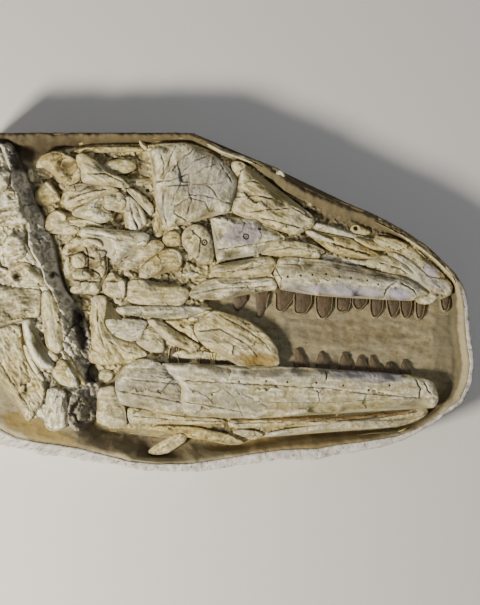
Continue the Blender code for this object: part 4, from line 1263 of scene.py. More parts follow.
@dataclass
class NeckAndShoulder(BoneGroup):
    """Vertebrae, ribs and girdle bones on the higher block, and the loose rib below."""

    finish: dict[str, Finish] = field(default_factory=lambda: {
        "atlas": OCHRE, "axis_arch": CREAM, "neck_vertebra_a": PALE, "neck_vertebra_b": PALE,
        "neck_vertebra_c": PALE, "neck_vertebra_d": CREAM, "long_rib": PALE, "loose_rib": CREAM,
        "rib_fragment": CREAM, "scapula": CREAM, "coracoid": CREAM, "humerus": CREAM,
        "limb_end": PALE, "cliff_plate": OCHRE})
    details: dict[str, Detail] = field(default_factory=lambda: {
        "long_rib": Detail(grain=-72, cells=3.4),
        "scapula": Detail(grain=4, cells=4.0, rough=1.6, plates=2.2, stains=(
            Stain(-57, -4, 6, 5, "8F8358", 0.5), Stain(-52, 1, 4, 2, "8A7E56", 0.4))),
        "coracoid": Detail(grain=-58, cells=4.4, rough=1.6, plates=2.2, strokes=(
            Stroke(((-60, -12), (-55, -20), (-50.4, -27)), 0.3, 0.25, 0.5),), stains=(
                Stain(-58, -26, 7, 9, "8A7A4E", 0.65), Stain(-54, -21, 3, 6, "948658", 0.5, 30))),
        "neck_vertebra_b": Detail(grain=10, cells=2.6, rough=1.6, spots=(
            Spot(-54.6, 27.4, 1.2, 0.7, 0.6),)),
        "neck_vertebra_c": Detail(grain=10, cells=2.4, rough=1.5),
        "neck_vertebra_d": Detail(grain=30, cells=2.4, rough=1.5, spots=(
            Spot(-53.2, 6.4, 1.5, 0.8, 0.7),)),
        "humerus": Detail(grain=-80, cells=3.6),
        "limb_end": Detail(grain=80, cells=2.6, rough=1.4),
        "loose_rib": Detail(grain=30, cells=3.0),
    })


# Crushed bone and rock between the bones


@dataclass(frozen=True)
class Bed:
    """A patch that fills the gaps between the bones, in centimetres.

    Its surface runs from bone to bone, a drop below their edges, and swells by the lift where
    they stand apart. It is broken into shards, which stand up or lie deep by the crush, with
    rugged lumps on them. Near its own outline, over the width of the fade, it sinks into the
    matrix. Where the matrix rises above the wall level, the patch stays under it.
    """

    # Width of the small shards, and shares of the crush in them and in both kinds of seam.
    SMALL_SIZE, SMALL, SEAM, SMALL_SEAM = 0.4, 0.45, 0.45, 0.15

    name: str
    finish: Finish
    outline: tuple[Point, ...]
    drop: float = 0.48
    lift: float = 0.9
    shard: float = 2.6
    crush: float = 0.46
    grain: float = -25.0
    rugged: float = 0.17
    fade: float = 1.8
    tone: float = 0.8
    wall_level: float = 12.0
    step: float = 2.4 * MM
    coarse: float = 1.5
    sunk: float = 1.5 * MM
    under: float = 8 * MM
    underside: float = 50 * MM
    rounds: int = 90
    strokes: tuple[Stroke, ...] = ()
    spots: tuple[Spot, ...] = ()
    stains: tuple[Stain, ...] = ()

    def build(self, ground: Callable, bones: Callable) -> bpy.types.Object:
        """Builds the patch.

        Args:
            ground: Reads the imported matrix's height at places.
            bones: Reads the bones' height at places, or nothing beside them.

        Returns:
            The finished patch.
        """
        piece, floor, share = self.start(ground)
        bone = bones(piece.places)
        known = ~np.isnan(bone)
        wall = ~known & (floor > self.wall_level * CM)
        level = self.stretched(piece, floor, np.where(known, bone, floor), known | wall)
        close = piece.smoothed(known.astype(float), 3)
        seed = float(len(self.name)) + 3.0
        along = turned(piece.places, self.grain)
        along = along + 6 * MM * wander(piece.places, 25 * MM, (seed, seed + 6))
        seam, slab = shards(along * [0.55, 1], self.shard * CM, seed)
        small_seam, small = shards(along * [0.8, 1],
                                   self.SMALL_SIZE * self.shard * CM, seed + 20)
        line = np.clip(1 - seam / 0.14, 0, 1)
        small_line = np.clip(1 - small_seam / 0.16, 0, 1)
        broken = self.crush * (slab + self.SMALL * small - self.SEAM * line
                               - self.SMALL_SEAM * small_line)
        rugged = self.rugged * (2 * wave(piece.places, 30 * MM, seed + 2, 4)
                                + wave(piece.places, 8 * MM, seed + 8, 3))
        top = level - CM * (self.drop - broken - rugged + 0.12 * close)
        piece.height = floor - self.sunk + share * (top - floor + self.sunk)
        for held, limit in ((known, bone), (wall, floor)):
            piece.height[held] = np.minimum(piece.height, limit - self.under)[held]
        piece.crack = np.clip(share * (0.32 * line + 0.12 * small_line), 0, 0.8)
        piece.grain = drawn_out(along)
        return self.close(piece)

    def start(self, ground: Callable) -> tuple[Relief, np.ndarray, np.ndarray]:
        """Lays the patch's points.

        Args:
            ground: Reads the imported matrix's height at places.

        Returns:
            The patch, the matrix's height under it, and how far the patch is out of its fade.
        """
        loop = worn_outline(np.array(self.outline) * CM, self.step * self.coarse, 0, 1.0)
        piece = Relief(self.name, loop, self.underside, self.step,
                       lambda places, depth: ground(places))
        floor = np.nan_to_num(piece.height, nan=90 * MM)
        return piece, floor, ease(piece.depth / (self.fade * CM))

    def stretched(self, piece: Relief, floor: np.ndarray, held: np.ndarray,
                  firm: np.ndarray) -> np.ndarray:
        """Stretches a skin over the bones and walls.

        Args:
            piece: The patch.
            floor: The matrix's height at its points.
            held: Heights of the bones and walls.
            firm: Which points are held there.

        Returns:
            The skin's height at each point.
        """
        level = np.where(firm, held, floor + self.lift * CM)
        for _ in range(self.rounds):
            level = piece.smoothed(level, 1)
            level[firm] = held[firm]
        return level

    def close(self, piece: Relief) -> bpy.types.Object:
        """Cuts and paints the patch's own marks, and makes it a solid.

        Args:
            piece: The patch.

        Returns:
            The finished patch.
        """
        piece.carve(Detail(strokes=self.strokes, spots=self.spots, stains=self.stains))
        solid = piece.finish(self.finish, tone=self.tone)
        return solid


@dataclass(frozen=True)
class ToothBed(Bed):
    """Rock left round the teeth: each crown lies in a thin-walled cup of matrix."""

    nodes: tuple[str, ...] = ()
    wall: float = 0.6
    slope: float = 0.45
    rise: float = 0.95
    tone: float = 0.3
    coarse: float = 2.0
    sunk: float = 1.0 * MM

    def build(self, ground: Callable, bones: Callable) -> bpy.types.Object:
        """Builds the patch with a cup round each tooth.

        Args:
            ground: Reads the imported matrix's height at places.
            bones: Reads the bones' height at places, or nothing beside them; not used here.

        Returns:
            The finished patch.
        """
        piece, floor, share = self.start(ground)
        cup, within = np.zeros(len(floor)), np.zeros(len(floor), bool)
        for node in self.nodes:
            mesh = joined_copy(frame["nodes"][node])
            for tooth in underside_loops(mesh)[1:]:
                crown = worn_outline(crown_outline(tooth), 2 * MM, 0, 1.0, 3 * MM)
                away = line_distance(piece.places, crown, closed=True) / CM
                held = inside(piece.places, crown)
                within |= held
                bent = away + 0.05 * wave(piece.places, 6 * MM, 4.0, 2)
                cup = np.maximum(cup, np.where(held, 1, ease((self.wall - bent) / self.slope)))
            mesh.free()
        grains = wave(piece.places * [1, 0.3], 4 * MM, 5.0, 3)
        raised = self.rise * cup + 0.07 * wave(piece.places, 20 * MM, 7.0, 3) + 0.02 * grains
        piece.height = floor - self.sunk + share * (self.sunk + raised * CM)
        piece.height[within] = floor[within] + 2 * MM
        piece.grain = piece.grain / [1, GRAIN_LENGTH, 1]
        return self.close(piece)


TOOTH_BEDS = (
    ToothBed("upper_tooth_bed", Finish.CHALK,
             ((9.6, 0), (11, 2.8), (23, 2.8), (41, 2.4), (54, 1.4), (59.4, 1.4), (59.6, -2.8),
              (55, -5.4), (46, -5.6), (34, -5.0), (22, -5.2), (12, -4.2)),
             fade=0.9, step=1.5 * MM, nodes=("maxilla", "maxilla_rear", "premaxilla"),
             stains=(Stain(34, -0.8, 27, 3.4, "76694A", 0.6),
                     Stain(52, -4, 5, 1.2, "77735F", 0.4))),
    ToothBed("lower_tooth_bed", Finish.CHALK,
             ((22.4, -18), (22.6, -13.6), (30, -12.6), (44, -13.2), (51, -15.6), (52, -20.4),
              (44, -20.2), (34, -20), (26, -19.4)),
             fade=0.7, step=1.5 * MM, nodes=("dentary",), wall=0.42, rise=0.85,
             stains=(Stain(36, -16.4, 15, 2.6, "72654A", 0.55, -3),)),
    ToothBed("rear_tooth_bed", Finish.OCHRE_BONE,
             ((-16, -11), (-10, -10), (-4, -11), (0, -12.6), (2, -15), (0, -17.6), (-8, -17.4),
              (-15, -16.6)),
             fade=0.9, step=1.8 * MM, nodes=("dentary",), wall=0.5, rise=1.2),
)


@dataclass(frozen=True)
class Fragment:
    """A loose piece of bone that lies between the larger ones, in centimetres.

    It stands up by the lift over what it lies on, and is tilted as a bone's detail is.
    """

    outline: tuple[Point, ...]
    lift: float = 0.55
    lean: float = 200.0
    rise: float = 0.5
    finish: Finish = Finish.CREAM_BONE
    spots: tuple[Spot, ...] = ()


@dataclass
class Fragments:
    """All loose pieces of bone, laid on the beds."""

    name: str
    pieces: tuple[Fragment, ...]
    step: float = 2.0 * MM
    edge: float = 3.0 * MM
    sunk: float = 12 * MM
    widest_dome: float = 14 * MM

    def build(self, beds: Sequence[bpy.types.Object]) -> list[bpy.types.Object]:
        """Lays the fragments.

        Args:
            beds: Finished patches and the matrix, on which the fragments lie.

        Returns:
            One joined piece for each finish.
        """
        tree = tree_of(beds)
        made: dict[Finish, list[bpy.types.Object]] = {}
        for number, fragment in enumerate(self.pieces):
            made.setdefault(fragment.finish, []).append(self.lay(fragment, number, tree))
        joined = []
        for finish, group in made.items():
            piece = join(group, f"{self.name}_{finish.name.lower()}")
            joined.append(piece)
        return joined

    def lay(self, fragment: Fragment, number: int, tree: BVHTree) -> bpy.types.Object:
        """Shapes one fragment on what lies under it.

        Args:
            fragment: The fragment.
            number: Its number, which sets its patterns apart.
            tree: The faces that it lies on.

        Returns:
            The finished fragment.
        """
        seed = 40.0 + 3.1 * number
        loop = worn_outline(np.array(fragment.outline) * CM, self.step, 0.6 * MM, seed)
        under = [look_down(tree, x, y) for x, y in loop[::3]]
        rest = float(np.median([hit.z for hit in under if hit is not None]))
        piece = Relief(f"{self.name}_{number}", loop, rest - self.sunk, self.step,
                       lambda places, depth: np.full(len(places), rest + fragment.lift * CM))
        reach = max(float(piece.depth.max()), 1e-4)
        dome = round_over(piece.depth / reach) - 0.8
        piece.height += 0.45 * min(reach, self.widest_dome) * dome
        piece.height -= 0.55 * self.edge * (1 - round_over(piece.depth / self.edge))
        ahead = loop[np.argmax(np.hypot(*(loop - loop.mean(0)).T))] - loop.mean(0)
        grain = math.degrees(math.atan2(ahead[1], ahead[0]))
        piece.weather(Detail(grain=grain, cells=2.6, rough=1.1, lean=fragment.lean,
                             rise=fragment.rise), seed)
        piece.carve(Detail(spots=fragment.spots))
        return piece.finish(fragment.finish, low=2 * MM)


SKULL_BED = Bed(
    "skull_bed", Finish.CRUSHED,
    ((-48.5, 38.6), (-44, 40.6), (-36, 41.6), (-28, 42), (-20, 42), (-17, 42.6), (-9, 42.6),
     (-4, 41), (2, 38.6), (8, 36), (12.5, 32.4), (16, 29.6), (20, 27.6), (26, 25.2), (32, 22.8),
     (38, 20.8), (45, 18), (50, 15.4), (54, 12.2), (57.8, 8.4), (60, 5.6), (59.6, 1.8),
     (54, 1.2), (48, 2.4), (40, 3.6), (30, 4), (20, 4.6), (13, 4), (4, 2.6), (-4, 0.8),
     (-3, -1.6), (4, -3.6), (9, -6.2), (13.4, -11), (14.6, -14), (13, -16.6),
     (0, -17.4), (-10, -17.6), (-20, -16), (-26, -17), (-29.6, -21), (-33, -22.4),
     (-34.4, -21.4), (-34.4, -16.4), (-35.2, -12), (-36.6, -7), (-38.6, -2), (-41, 2),
     (-43.4, 8), (-44.2, 14), (-46.4, 19.4), (-48.4, 25), (-50.4, 31), (-50, 36)),
    # The pits are cut deep and painted nearly black: painted shadow in the holes between the bones.
    spots=(Spot(-34, 9, 1.3, 1.2, 0.95), Spot(-27.2, 22, 1.9, 1.3, 0.95),
           Spot(-21.6, 34.6, 2.2, 0.9, 0.6), Spot(-41.4, 14.4, 1.2, 0.9, 0.8),
           Spot(-30.6, -0.6, 1.2, 1.0, 0.9), Spot(-32, 17, 1.2, 0.7, 0.8),
           Spot(-14, 16, 1.4, 0.6, 0.6), Spot(-34.2, -18.6, 1.8, 1.8, 0.98),
           Spot(-37.6, -3.6, 1.5, 1.6, 0.98), Spot(-29.6, -3.2, 1.0, 0.8, 0.9)),
    stains=(Stain(-28, 34.5, 9, 3, "6B5A32", 0.6, -15), Stain(24, 15.4, 7, 1.4, "4E3C1C", 0.6, -26),
            Stain(-2.5, 22.4, 3, 1.4, "6B5628", 0.7), Stain(33, 21.2, 15, 2.6, "665A3E", 0.9, -20),
            Stain(17, 28.4, 8, 1.6, "665A3E", 0.85, -38), Stain(-35, 8, 8, 9, "8A7744", 0.4),
            Stain(-14, 9, 6, 4, "9C8652", 0.4), Stain(-44.6, 30, 4, 6, "8A7850", 0.5),
            Stain(-36, 37, 6, 2, "7E6A40", 0.5), Stain(4, -15.4, 12, 1.6, "A48A4A", 0.6)))

JAW_BED = Bed(
    "jaw_bed", Finish.OCHRE_BONE,
    ((-33.6, -22), (-20, -24), (0, -26), (20, -27), (40, -26), (52, -24), (54.6, -27),
     (52, -30.8), (46, -33.6), (36, -34), (28, -34.2), (18, -35), (10, -36), (4, -37.6),
     (-4, -37), (-10, -35), (-20, -34), (-30, -33.8), (-34, -31.6)),
    drop=0.5, lift=0.7, crush=0.16, grain=2, rugged=0.1, fade=1.4, wall_level=20.0,
    # The near-black stain below the angular is painted shadow.
    stains=(Stain(34, -29.2, 22, 0.9, "8A5F1E", 0.7, 3), Stain(-3, -33.6, 6, 1.2, "1E1808", 0.8),
            Stain(10, -31.8, 18, 0.6, "5E4418", 0.6)))

NECK_BED = Bed(
    "neck_bed", Finish.PALE_BONE,
    ((-62, 39), (-59, 41), (-57, 38.6), (-55.4, 33), (-53.4, 27), (-51.6, 22), (-50.6, 16),
     (-48.4, 11), (-46, 7), (-44, 2), (-42.4, -4), (-41.6, -11), (-39, -16), (-37, -21),
     (-36.6, -27), (-40, -32), (-45, -33.6), (-47.6, -30), (-50.6, -31.4), (-55, -26), (-60, -19),
     (-62, -16)),
    drop=0.4, lift=0.8, shard=4.0, crush=0.5, grain=-40, rugged=0.2, fade=1.2, wall_level=20.0,
    spots=(Spot(-54, 8, 1.8, 0.9, 0.7), Spot(-49.6, 1, 0.7, 0.5, 0.7)),
    stains=(Stain(-53.6, 8, 3, 2, "A9813E", 0.6), Stain(-56, 23, 4, 2, "93855C", 0.5),
            Stain(-50, -2, 6, 4, "A39C80", 0.5), Stain(-43, -24, 4, 6, "6C6450", 0.6),
            Stain(-56, 30.6, 3, 1.6, "AE8A4C", 0.5)))

CLIFF_BED = Bed(
    "cliff_bed", Finish.MARL,
    ((-58.6, 41.2), (-57, 38.5), (-56, 35), (-55.5, 30), (-54, 27), (-52.5, 23.5), (-51, 20),
     (-51, 14), (-49, 11), (-47.3, 8), (-46.8, 5), (-45.2, 3), (-44, 0), (-43, -3),
     (-42.5, -8), (-42, -12), (-39.5, -15), (-38.5, -18), (-38, -22.6), (-40, -24),
     (-41.5, -31), (-38, -34), (-33.4, -31), (-31.8, -27), (-31.6, -23), (-32.4, -20.5),
     (-34.3, -20), (-35, -18), (-34.2, -15), (-33.4, -12.6), (-34, -9.6), (-35.2, -6),
     (-37, -2.4), (-39, 0.8), (-41, 3.6), (-42, 6.4), (-43, 10.4), (-44, 14.6), (-45.4, 19.6),
     (-47, 22.6), (-48, 25.4), (-49.4, 29), (-51, 32.6), (-52, 35.6), (-53, 38.4),
     (-55.6, 41.6)),
    drop=-0.35, lift=1.5, shard=4.4, crush=0.75, grain=-62, rugged=0.34, fade=0.8, tone=0.7,
    wall_level=20.0,
    # The deep pits are painted nearly black as painted shadow.
    spots=(Spot(-34, -18.4, 1.9, 1.6, 0.98), Spot(-37.4, -4, 1.5, 1.4, 0.98),
           Spot(-51.4, 37.6, 2.6, 0.6, 0.9), Spot(-44.4, 7, 1.2, 0.8, 0.9),
           Spot(-36.4, -28.8, 3.4, -1.1, 0.0)),
    # The three near-black stains are painted shadow, in the hole at the top, the slit and the pit
    # at the foot; the dark grey one is painted shade on the cliff face.
    stains=(Stain(-52, 37, 4, 4, "1C1A14", 0.85), Stain(-36.6, -28.6, 5, 5.4, "80765F", 0.8),
            Stain(-48.6, 27, 2.4, 5, "4E4C46", 0.7, 20),
            Stain(-37.4, -7, 1.8, 7, "17140D", 0.9, 12),
            Stain(-34, -18.5, 2.4, 3.4, "0B0A07", 0.95)))

BEDS = (SKULL_BED, JAW_BED, NECK_BED, CLIFF_BED)

FRAGMENTS = Fragments("skull_fragment", (
    Fragment(((-41.4, 15), (-40, 16), (-38.6, 16.9), (-37.2, 16.2), (-36.9, 15.2), (-38, 14.3),
              (-40, 13.6), (-41.2, 13.8))),
    Fragment(((-36.8, 15.8), (-36, 16.7), (-34.6, 16.6), (-32.6, 16.2), (-31.4, 15.2),
              (-31.2, 14), (-33, 13.8), (-35.5, 14), (-36.8, 14.6)), lean=90),
    Fragment(((-39.6, 12), (-38, 12.9), (-36.4, 12.6), (-35.6, 11.2), (-35.7, 9.6),
              (-36.6, 8.7), (-38.6, 8.6), (-39.6, 9.8)), 0.8),
    Fragment(((-39.5, 7.4), (-38.2, 8.3), (-36.2, 8.3), (-34.8, 7.6), (-34, 6.4), (-35.4, 5.8),
              (-38, 5.7), (-39.3, 6.2)), 0.5),
    Fragment(((-41.8, 9.5), (-41, 11.6), (-40, 11.9), (-39.9, 9.5), (-40, 7.6), (-40.8, 6.2),
              (-41.8, 7)), 0.4, 0),
    Fragment(((-40.2, 3.6), (-38.4, 4.8), (-36, 5.5), (-34.6, 5.2), (-35, 4), (-36, 2.6),
              (-38.4, 2), (-40, 2.4)), 0.6, 120),
    Fragment(((-35.3, 3.4), (-34.4, 4.6), (-32.8, 5.6), (-31.8, 5), (-31.9, 3.2), (-33, 2.2),
              (-34.6, 2.2)), 0.4),
    Fragment(((-32.2, 8.4), (-31.7, 10.6), (-31, 11.2), (-30.5, 9.8), (-30.6, 7.6),
              (-31.4, 6.2), (-32.1, 6.8)), 0.6),
    Fragment(((-35.2, 12.6), (-33.4, 13.2), (-31.6, 13.6), (-30.5, 13), (-30.8, 11.8),
              (-32.4, 11.4), (-34.4, 11.8)), 0.5, 270),
    Fragment(((-29.4, 12), (-28.6, 12), (-27.4, 13), (-27.2, 14.4), (-28, 15.8), (-29.2, 16),
              (-29.4, 14)), 0.5),
    Fragment(((-28, 5.2), (-26.6, 6), (-25.6, 5.6), (-25.4, 3.4), (-25.6, 1.2), (-26.6, 0.6),
              (-27.2, 2.4)), 0.4, 20),
    Fragment(((-22.2, 6.6), (-21.6, 9), (-20, 10.4), (-18.6, 11.4), (-17.8, 11.8),
              (-17.6, 10.2), (-18, 8.6), (-18.6, 7), (-19.6, 6.2), (-21, 6.1)), 0.35),
    Fragment(((-15.4, 13.8), (-13, 14), (-11.4, 13.2), (-10.6, 11.6), (-11, 9.8), (-11.6, 8.6),
              (-13.4, 9), (-15, 10.2)), 0.35, 60),
    Fragment(((-11.6, 7.2), (-9, 8), (-7, 7.7), (-5.8, 7.1), (-7.4, 6.2), (-9.8, 6.2)), 0.6, 90,
             0.3, Finish.PALE_BONE),
    Fragment(((-25.4, 1), (-23, 1.3), (-21, 1.1), (-19.8, 0.4), (-19.6, -0.8), (-22, -0.8),
              (-25, 0)), 0.4, 90),
    Fragment(((-42.2, 25.9), (-40, 26.2), (-37, 26.6), (-34.5, 27.4), (-32.8, 28.2),
              (-32, 28), (-33.4, 26.6), (-35.8, 25.6), (-38, 24.8), (-40.6, 24.2),
              (-41, 25.1)), 0.3, 120),
    Fragment(((-34.4, 22.3), (-33.4, 23.4), (-31.8, 23.9), (-30.2, 23.5), (-29, 22.8),
              (-29.1, 21.8), (-30.2, 21), (-32, 20.5), (-33.6, 21)), 0.5, 240, 0.6,
             Finish.PALE_BONE),
    Fragment(((-25, 27.8), (-23.4, 26.9), (-21.8, 25.2), (-20.7, 23.5), (-20, 21.6),
              (-19.8, 20.2), (-20.9, 19.8), (-21.6, 21.6), (-22.5, 23.4), (-23.6, 24.9),
              (-25, 26.2), (-26, 26.8)), 0.5, 220, 0.3),
    Fragment(((-26, 31.9), (-24, 32.3), (-20.6, 32.4), (-18.6, 32.2), (-18.2, 30), (-18.2, 28),
              (-18.6, 26.6), (-19.4, 26.9), (-21.4, 28.3), (-23.4, 29.8), (-24.8, 30.4)),
             0.2, 300, 0.3, spots=(Spot(-19.9, 29, 0.62, 0.9, 0.98),)),
    Fragment(((-18.9, 26.4), (-17.8, 27.2), (-16.6, 24), (-15.8, 21), (-15.2, 19.2),
              (-15.8, 17), (-17.4, 16.4), (-18.8, 17.6), (-18.6, 20), (-18, 22.5)), 0.3, 180,
             0.5, Finish.OCHRE_BONE),
    Fragment(((-46.6, 31), (-45.8, 31.6), (-44.4, 30), (-43.2, 28.2), (-42, 26.6),
              (-43, 26.1), (-44.2, 27), (-45, 28.6), (-46, 30)), 0.5, 220, 0.3),
    Fragment(((-46.4, 21.2), (-45.2, 22.2), (-43.6, 22), (-42.2, 21), (-42.8, 19.4),
              (-44.6, 18.4), (-46.2, 18.2), (-46.8, 19.6)), 0.4, finish=Finish.OCHRE_BONE),
    Fragment(((-44, 23.8), (-42.2, 23.6), (-40.6, 22.4), (-41, 20.9), (-42.4, 20.9),
              (-43.6, 21.9)), 0.5, 60),
    Fragment(((-42.2, 19.6), (-40, 20), (-38, 19.8), (-37.2, 18.8), (-38, 17.6),
              (-40.6, 17.4), (-42.2, 18)), 0.4, 100),
    Fragment(((-40.4, 21.6), (-36, 21.6), (-34.6, 21.4), (-33, 20.6), (-31.6, 20),
              (-31, 19.2), (-33, 19.3), (-36, 19.8), (-38.6, 20), (-40.2, 20.6)), 0.4, 90, 0.3),
    Fragment(((-51.4, 34), (-50.6, 35.2), (-49.7, 34.6), (-49.2, 33), (-49.2, 31.5),
              (-49.9, 30.8), (-50.8, 31.4), (-51.3, 32.6)), 0.7),
    Fragment(((20.8, 18.6), (22.4, 18.9), (24.6, 17.8), (27, 16.8), (29.3, 15.8), (28.6, 15),
              (26, 15.7), (23.6, 16.4), (22, 17.2)), 0.5, 60, 0.2, Finish.PALE_BONE),
    Fragment(((24.6, 12.9), (28, 12.5), (32, 11.5), (36, 10.9), (39, 11), (37.4, 9.2),
              (33, 9.7), (28, 10.7), (24.4, 11.4)), 0.3, 260, 0.3, Finish.PALE_BONE),
    Fragment(((32.2, 18), (33, 19.8), (34.2, 20.5), (35.8, 19.7), (37.9, 18.8), (38.6, 18),
              (37.4, 17.2), (35, 17.1), (33, 17.2)), 0.5, 90, 0.4, Finish.OCHRE_BONE,
             (Spot(34.3, 19.2, 0.75, 0.7, 0.95),)),
    Fragment(((33.4, 17.2), (37, 16.4), (40, 15.4), (43, 14.8), (45, 13.4), (42.6, 13.2),
              (39.4, 13.4), (36.6, 14.4), (34, 15.7)), 0.3, 240, 0.4, Finish.OCHRE_BONE),
    Fragment(((-22.3, 42.1), (-21.4, 42.2), (-20.2, 41), (-19.5, 39.8), (-20.6, 39.2),
              (-21.8, 40.6)), 0.5),
    Fragment(((-4.4, -2), (-3, -2.4), (-4.4, -3.6), (-6.4, -4.8), (-8.2, -5.2), (-9.6, -4.8),
              (-9, -4), (-7, -3)), 0.5, 120, 0.3),
    Fragment(((-15.8, -4.8), (-13, -4.6), (-10.6, -4.5), (-10.4, -5.8), (-11.4, -7.8),
              (-12.2, -7.4), (-14.2, -6.2)), 0.3, 100, 0.5, Finish.OCHRE_BONE),
    Fragment(((-10.4, -6.4), (-9.6, -5.6), (-8.4, -6), (-7.8, -7.4), (-6.6, -9.4), (-6.2, -11),
              (-8, -10), (-9.8, -9), (-11, -8.2)), 0.4, 30),
    Fragment(((-33, -18.4), (-31.6, -17.2), (-29.8, -17.4), (-28.6, -18.6), (-29, -20.4),
              (-31, -21.2), (-32.8, -20.4)), 0.7),
    Fragment(((-14, -13.6), (-11, -12.2), (-8, -13), (-5.4, -12.6), (-3, -13.2), (-0.6, -12.8),
              (1.6, -14), (6, -13.9), (7, -15.2), (2, -15.6), (-4, -15.4), (-9, -15),
              (-13, -14.6)), 0.25, 90, 0.3),
    Fragment(((-57.6, 28), (-56.2, 29.2), (-54.7, 29.6), (-53.6, 28.6), (-52.8, 27.4),
              (-52.6, 26), (-54, 25.7), (-56, 25.5), (-57.4, 25.8)), 0.4, 230),
    Fragment(((-51.8, 4.3), (-49.8, 5.8), (-48, 7.2), (-46.8, 6.4), (-46, 5), (-46.3, 3.8),
              (-49, 3.7)), 0.5, 250),
    Fragment(((-49.1, 10.3), (-48, 10.8), (-46.9, 10.4), (-46.1, 9), (-46.6, 8.1),
              (-47.8, 8.2), (-48.6, 9.2)), 0.4, finish=Finish.PALE_BONE),
    Fragment(((-52, -11), (-51, -10.8), (-49.2, -14.8), (-47.2, -18.4), (-46, -20.2),
              (-47, -20.8), (-49, -18.2), (-51, -14.6)), 0.45, 200, 0.2, Finish.PALE_BONE),
    Fragment(((-42.8, -14.8), (-41, -15), (-39.6, -17), (-38.2, -19.3), (-37.3, -21.6),
              (-39, -22.2), (-41.5, -21.6), (-43, -20.4), (-44.6, -18.2), (-43.6, -16.6)), 0.5,
             230, 0.6, Finish.PALE_BONE),
    Fragment(((-42, -14.2), (-40, -13.6), (-38.5, -16), (-36.8, -18.8), (-35.4, -21.3),
              (-36.5, -21.9), (-37.8, -20.3), (-39.3, -17.6), (-40.6, -15.6)), 0.5, 200, 0.3,
             Finish.OCHRE_BONE),
    Fragment(((-61.5, 35), (-58.5, 33.8), (-57.2, 33.9), (-56, 33.4), (-56.2, 32.2),
              (-56, 30.5), (-57.5, 28.6), (-61.5, 28)), 0.3, 200, 0.4, Finish.PALE_BONE),
    Fragment(((13, 33.2), (14.2, 34.4), (15.4, 33.8), (16.2, 32.4), (14.8, 31.8)), 0.3, 90, 0.2,
             Finish.PALE_BONE),
))


# The slab


def bareness(places: np.ndarray) -> np.ndarray:
    """Share of bare rock on the slab's edge: all of it above, none below and at the snout."""
    x, y = places[:, 0] / CM, places[:, 1] / CM
    return np.clip((y + 2) / 8, 0, 1) * np.clip((64.5 - x + 0.25 * y) / 5, 0, 1)


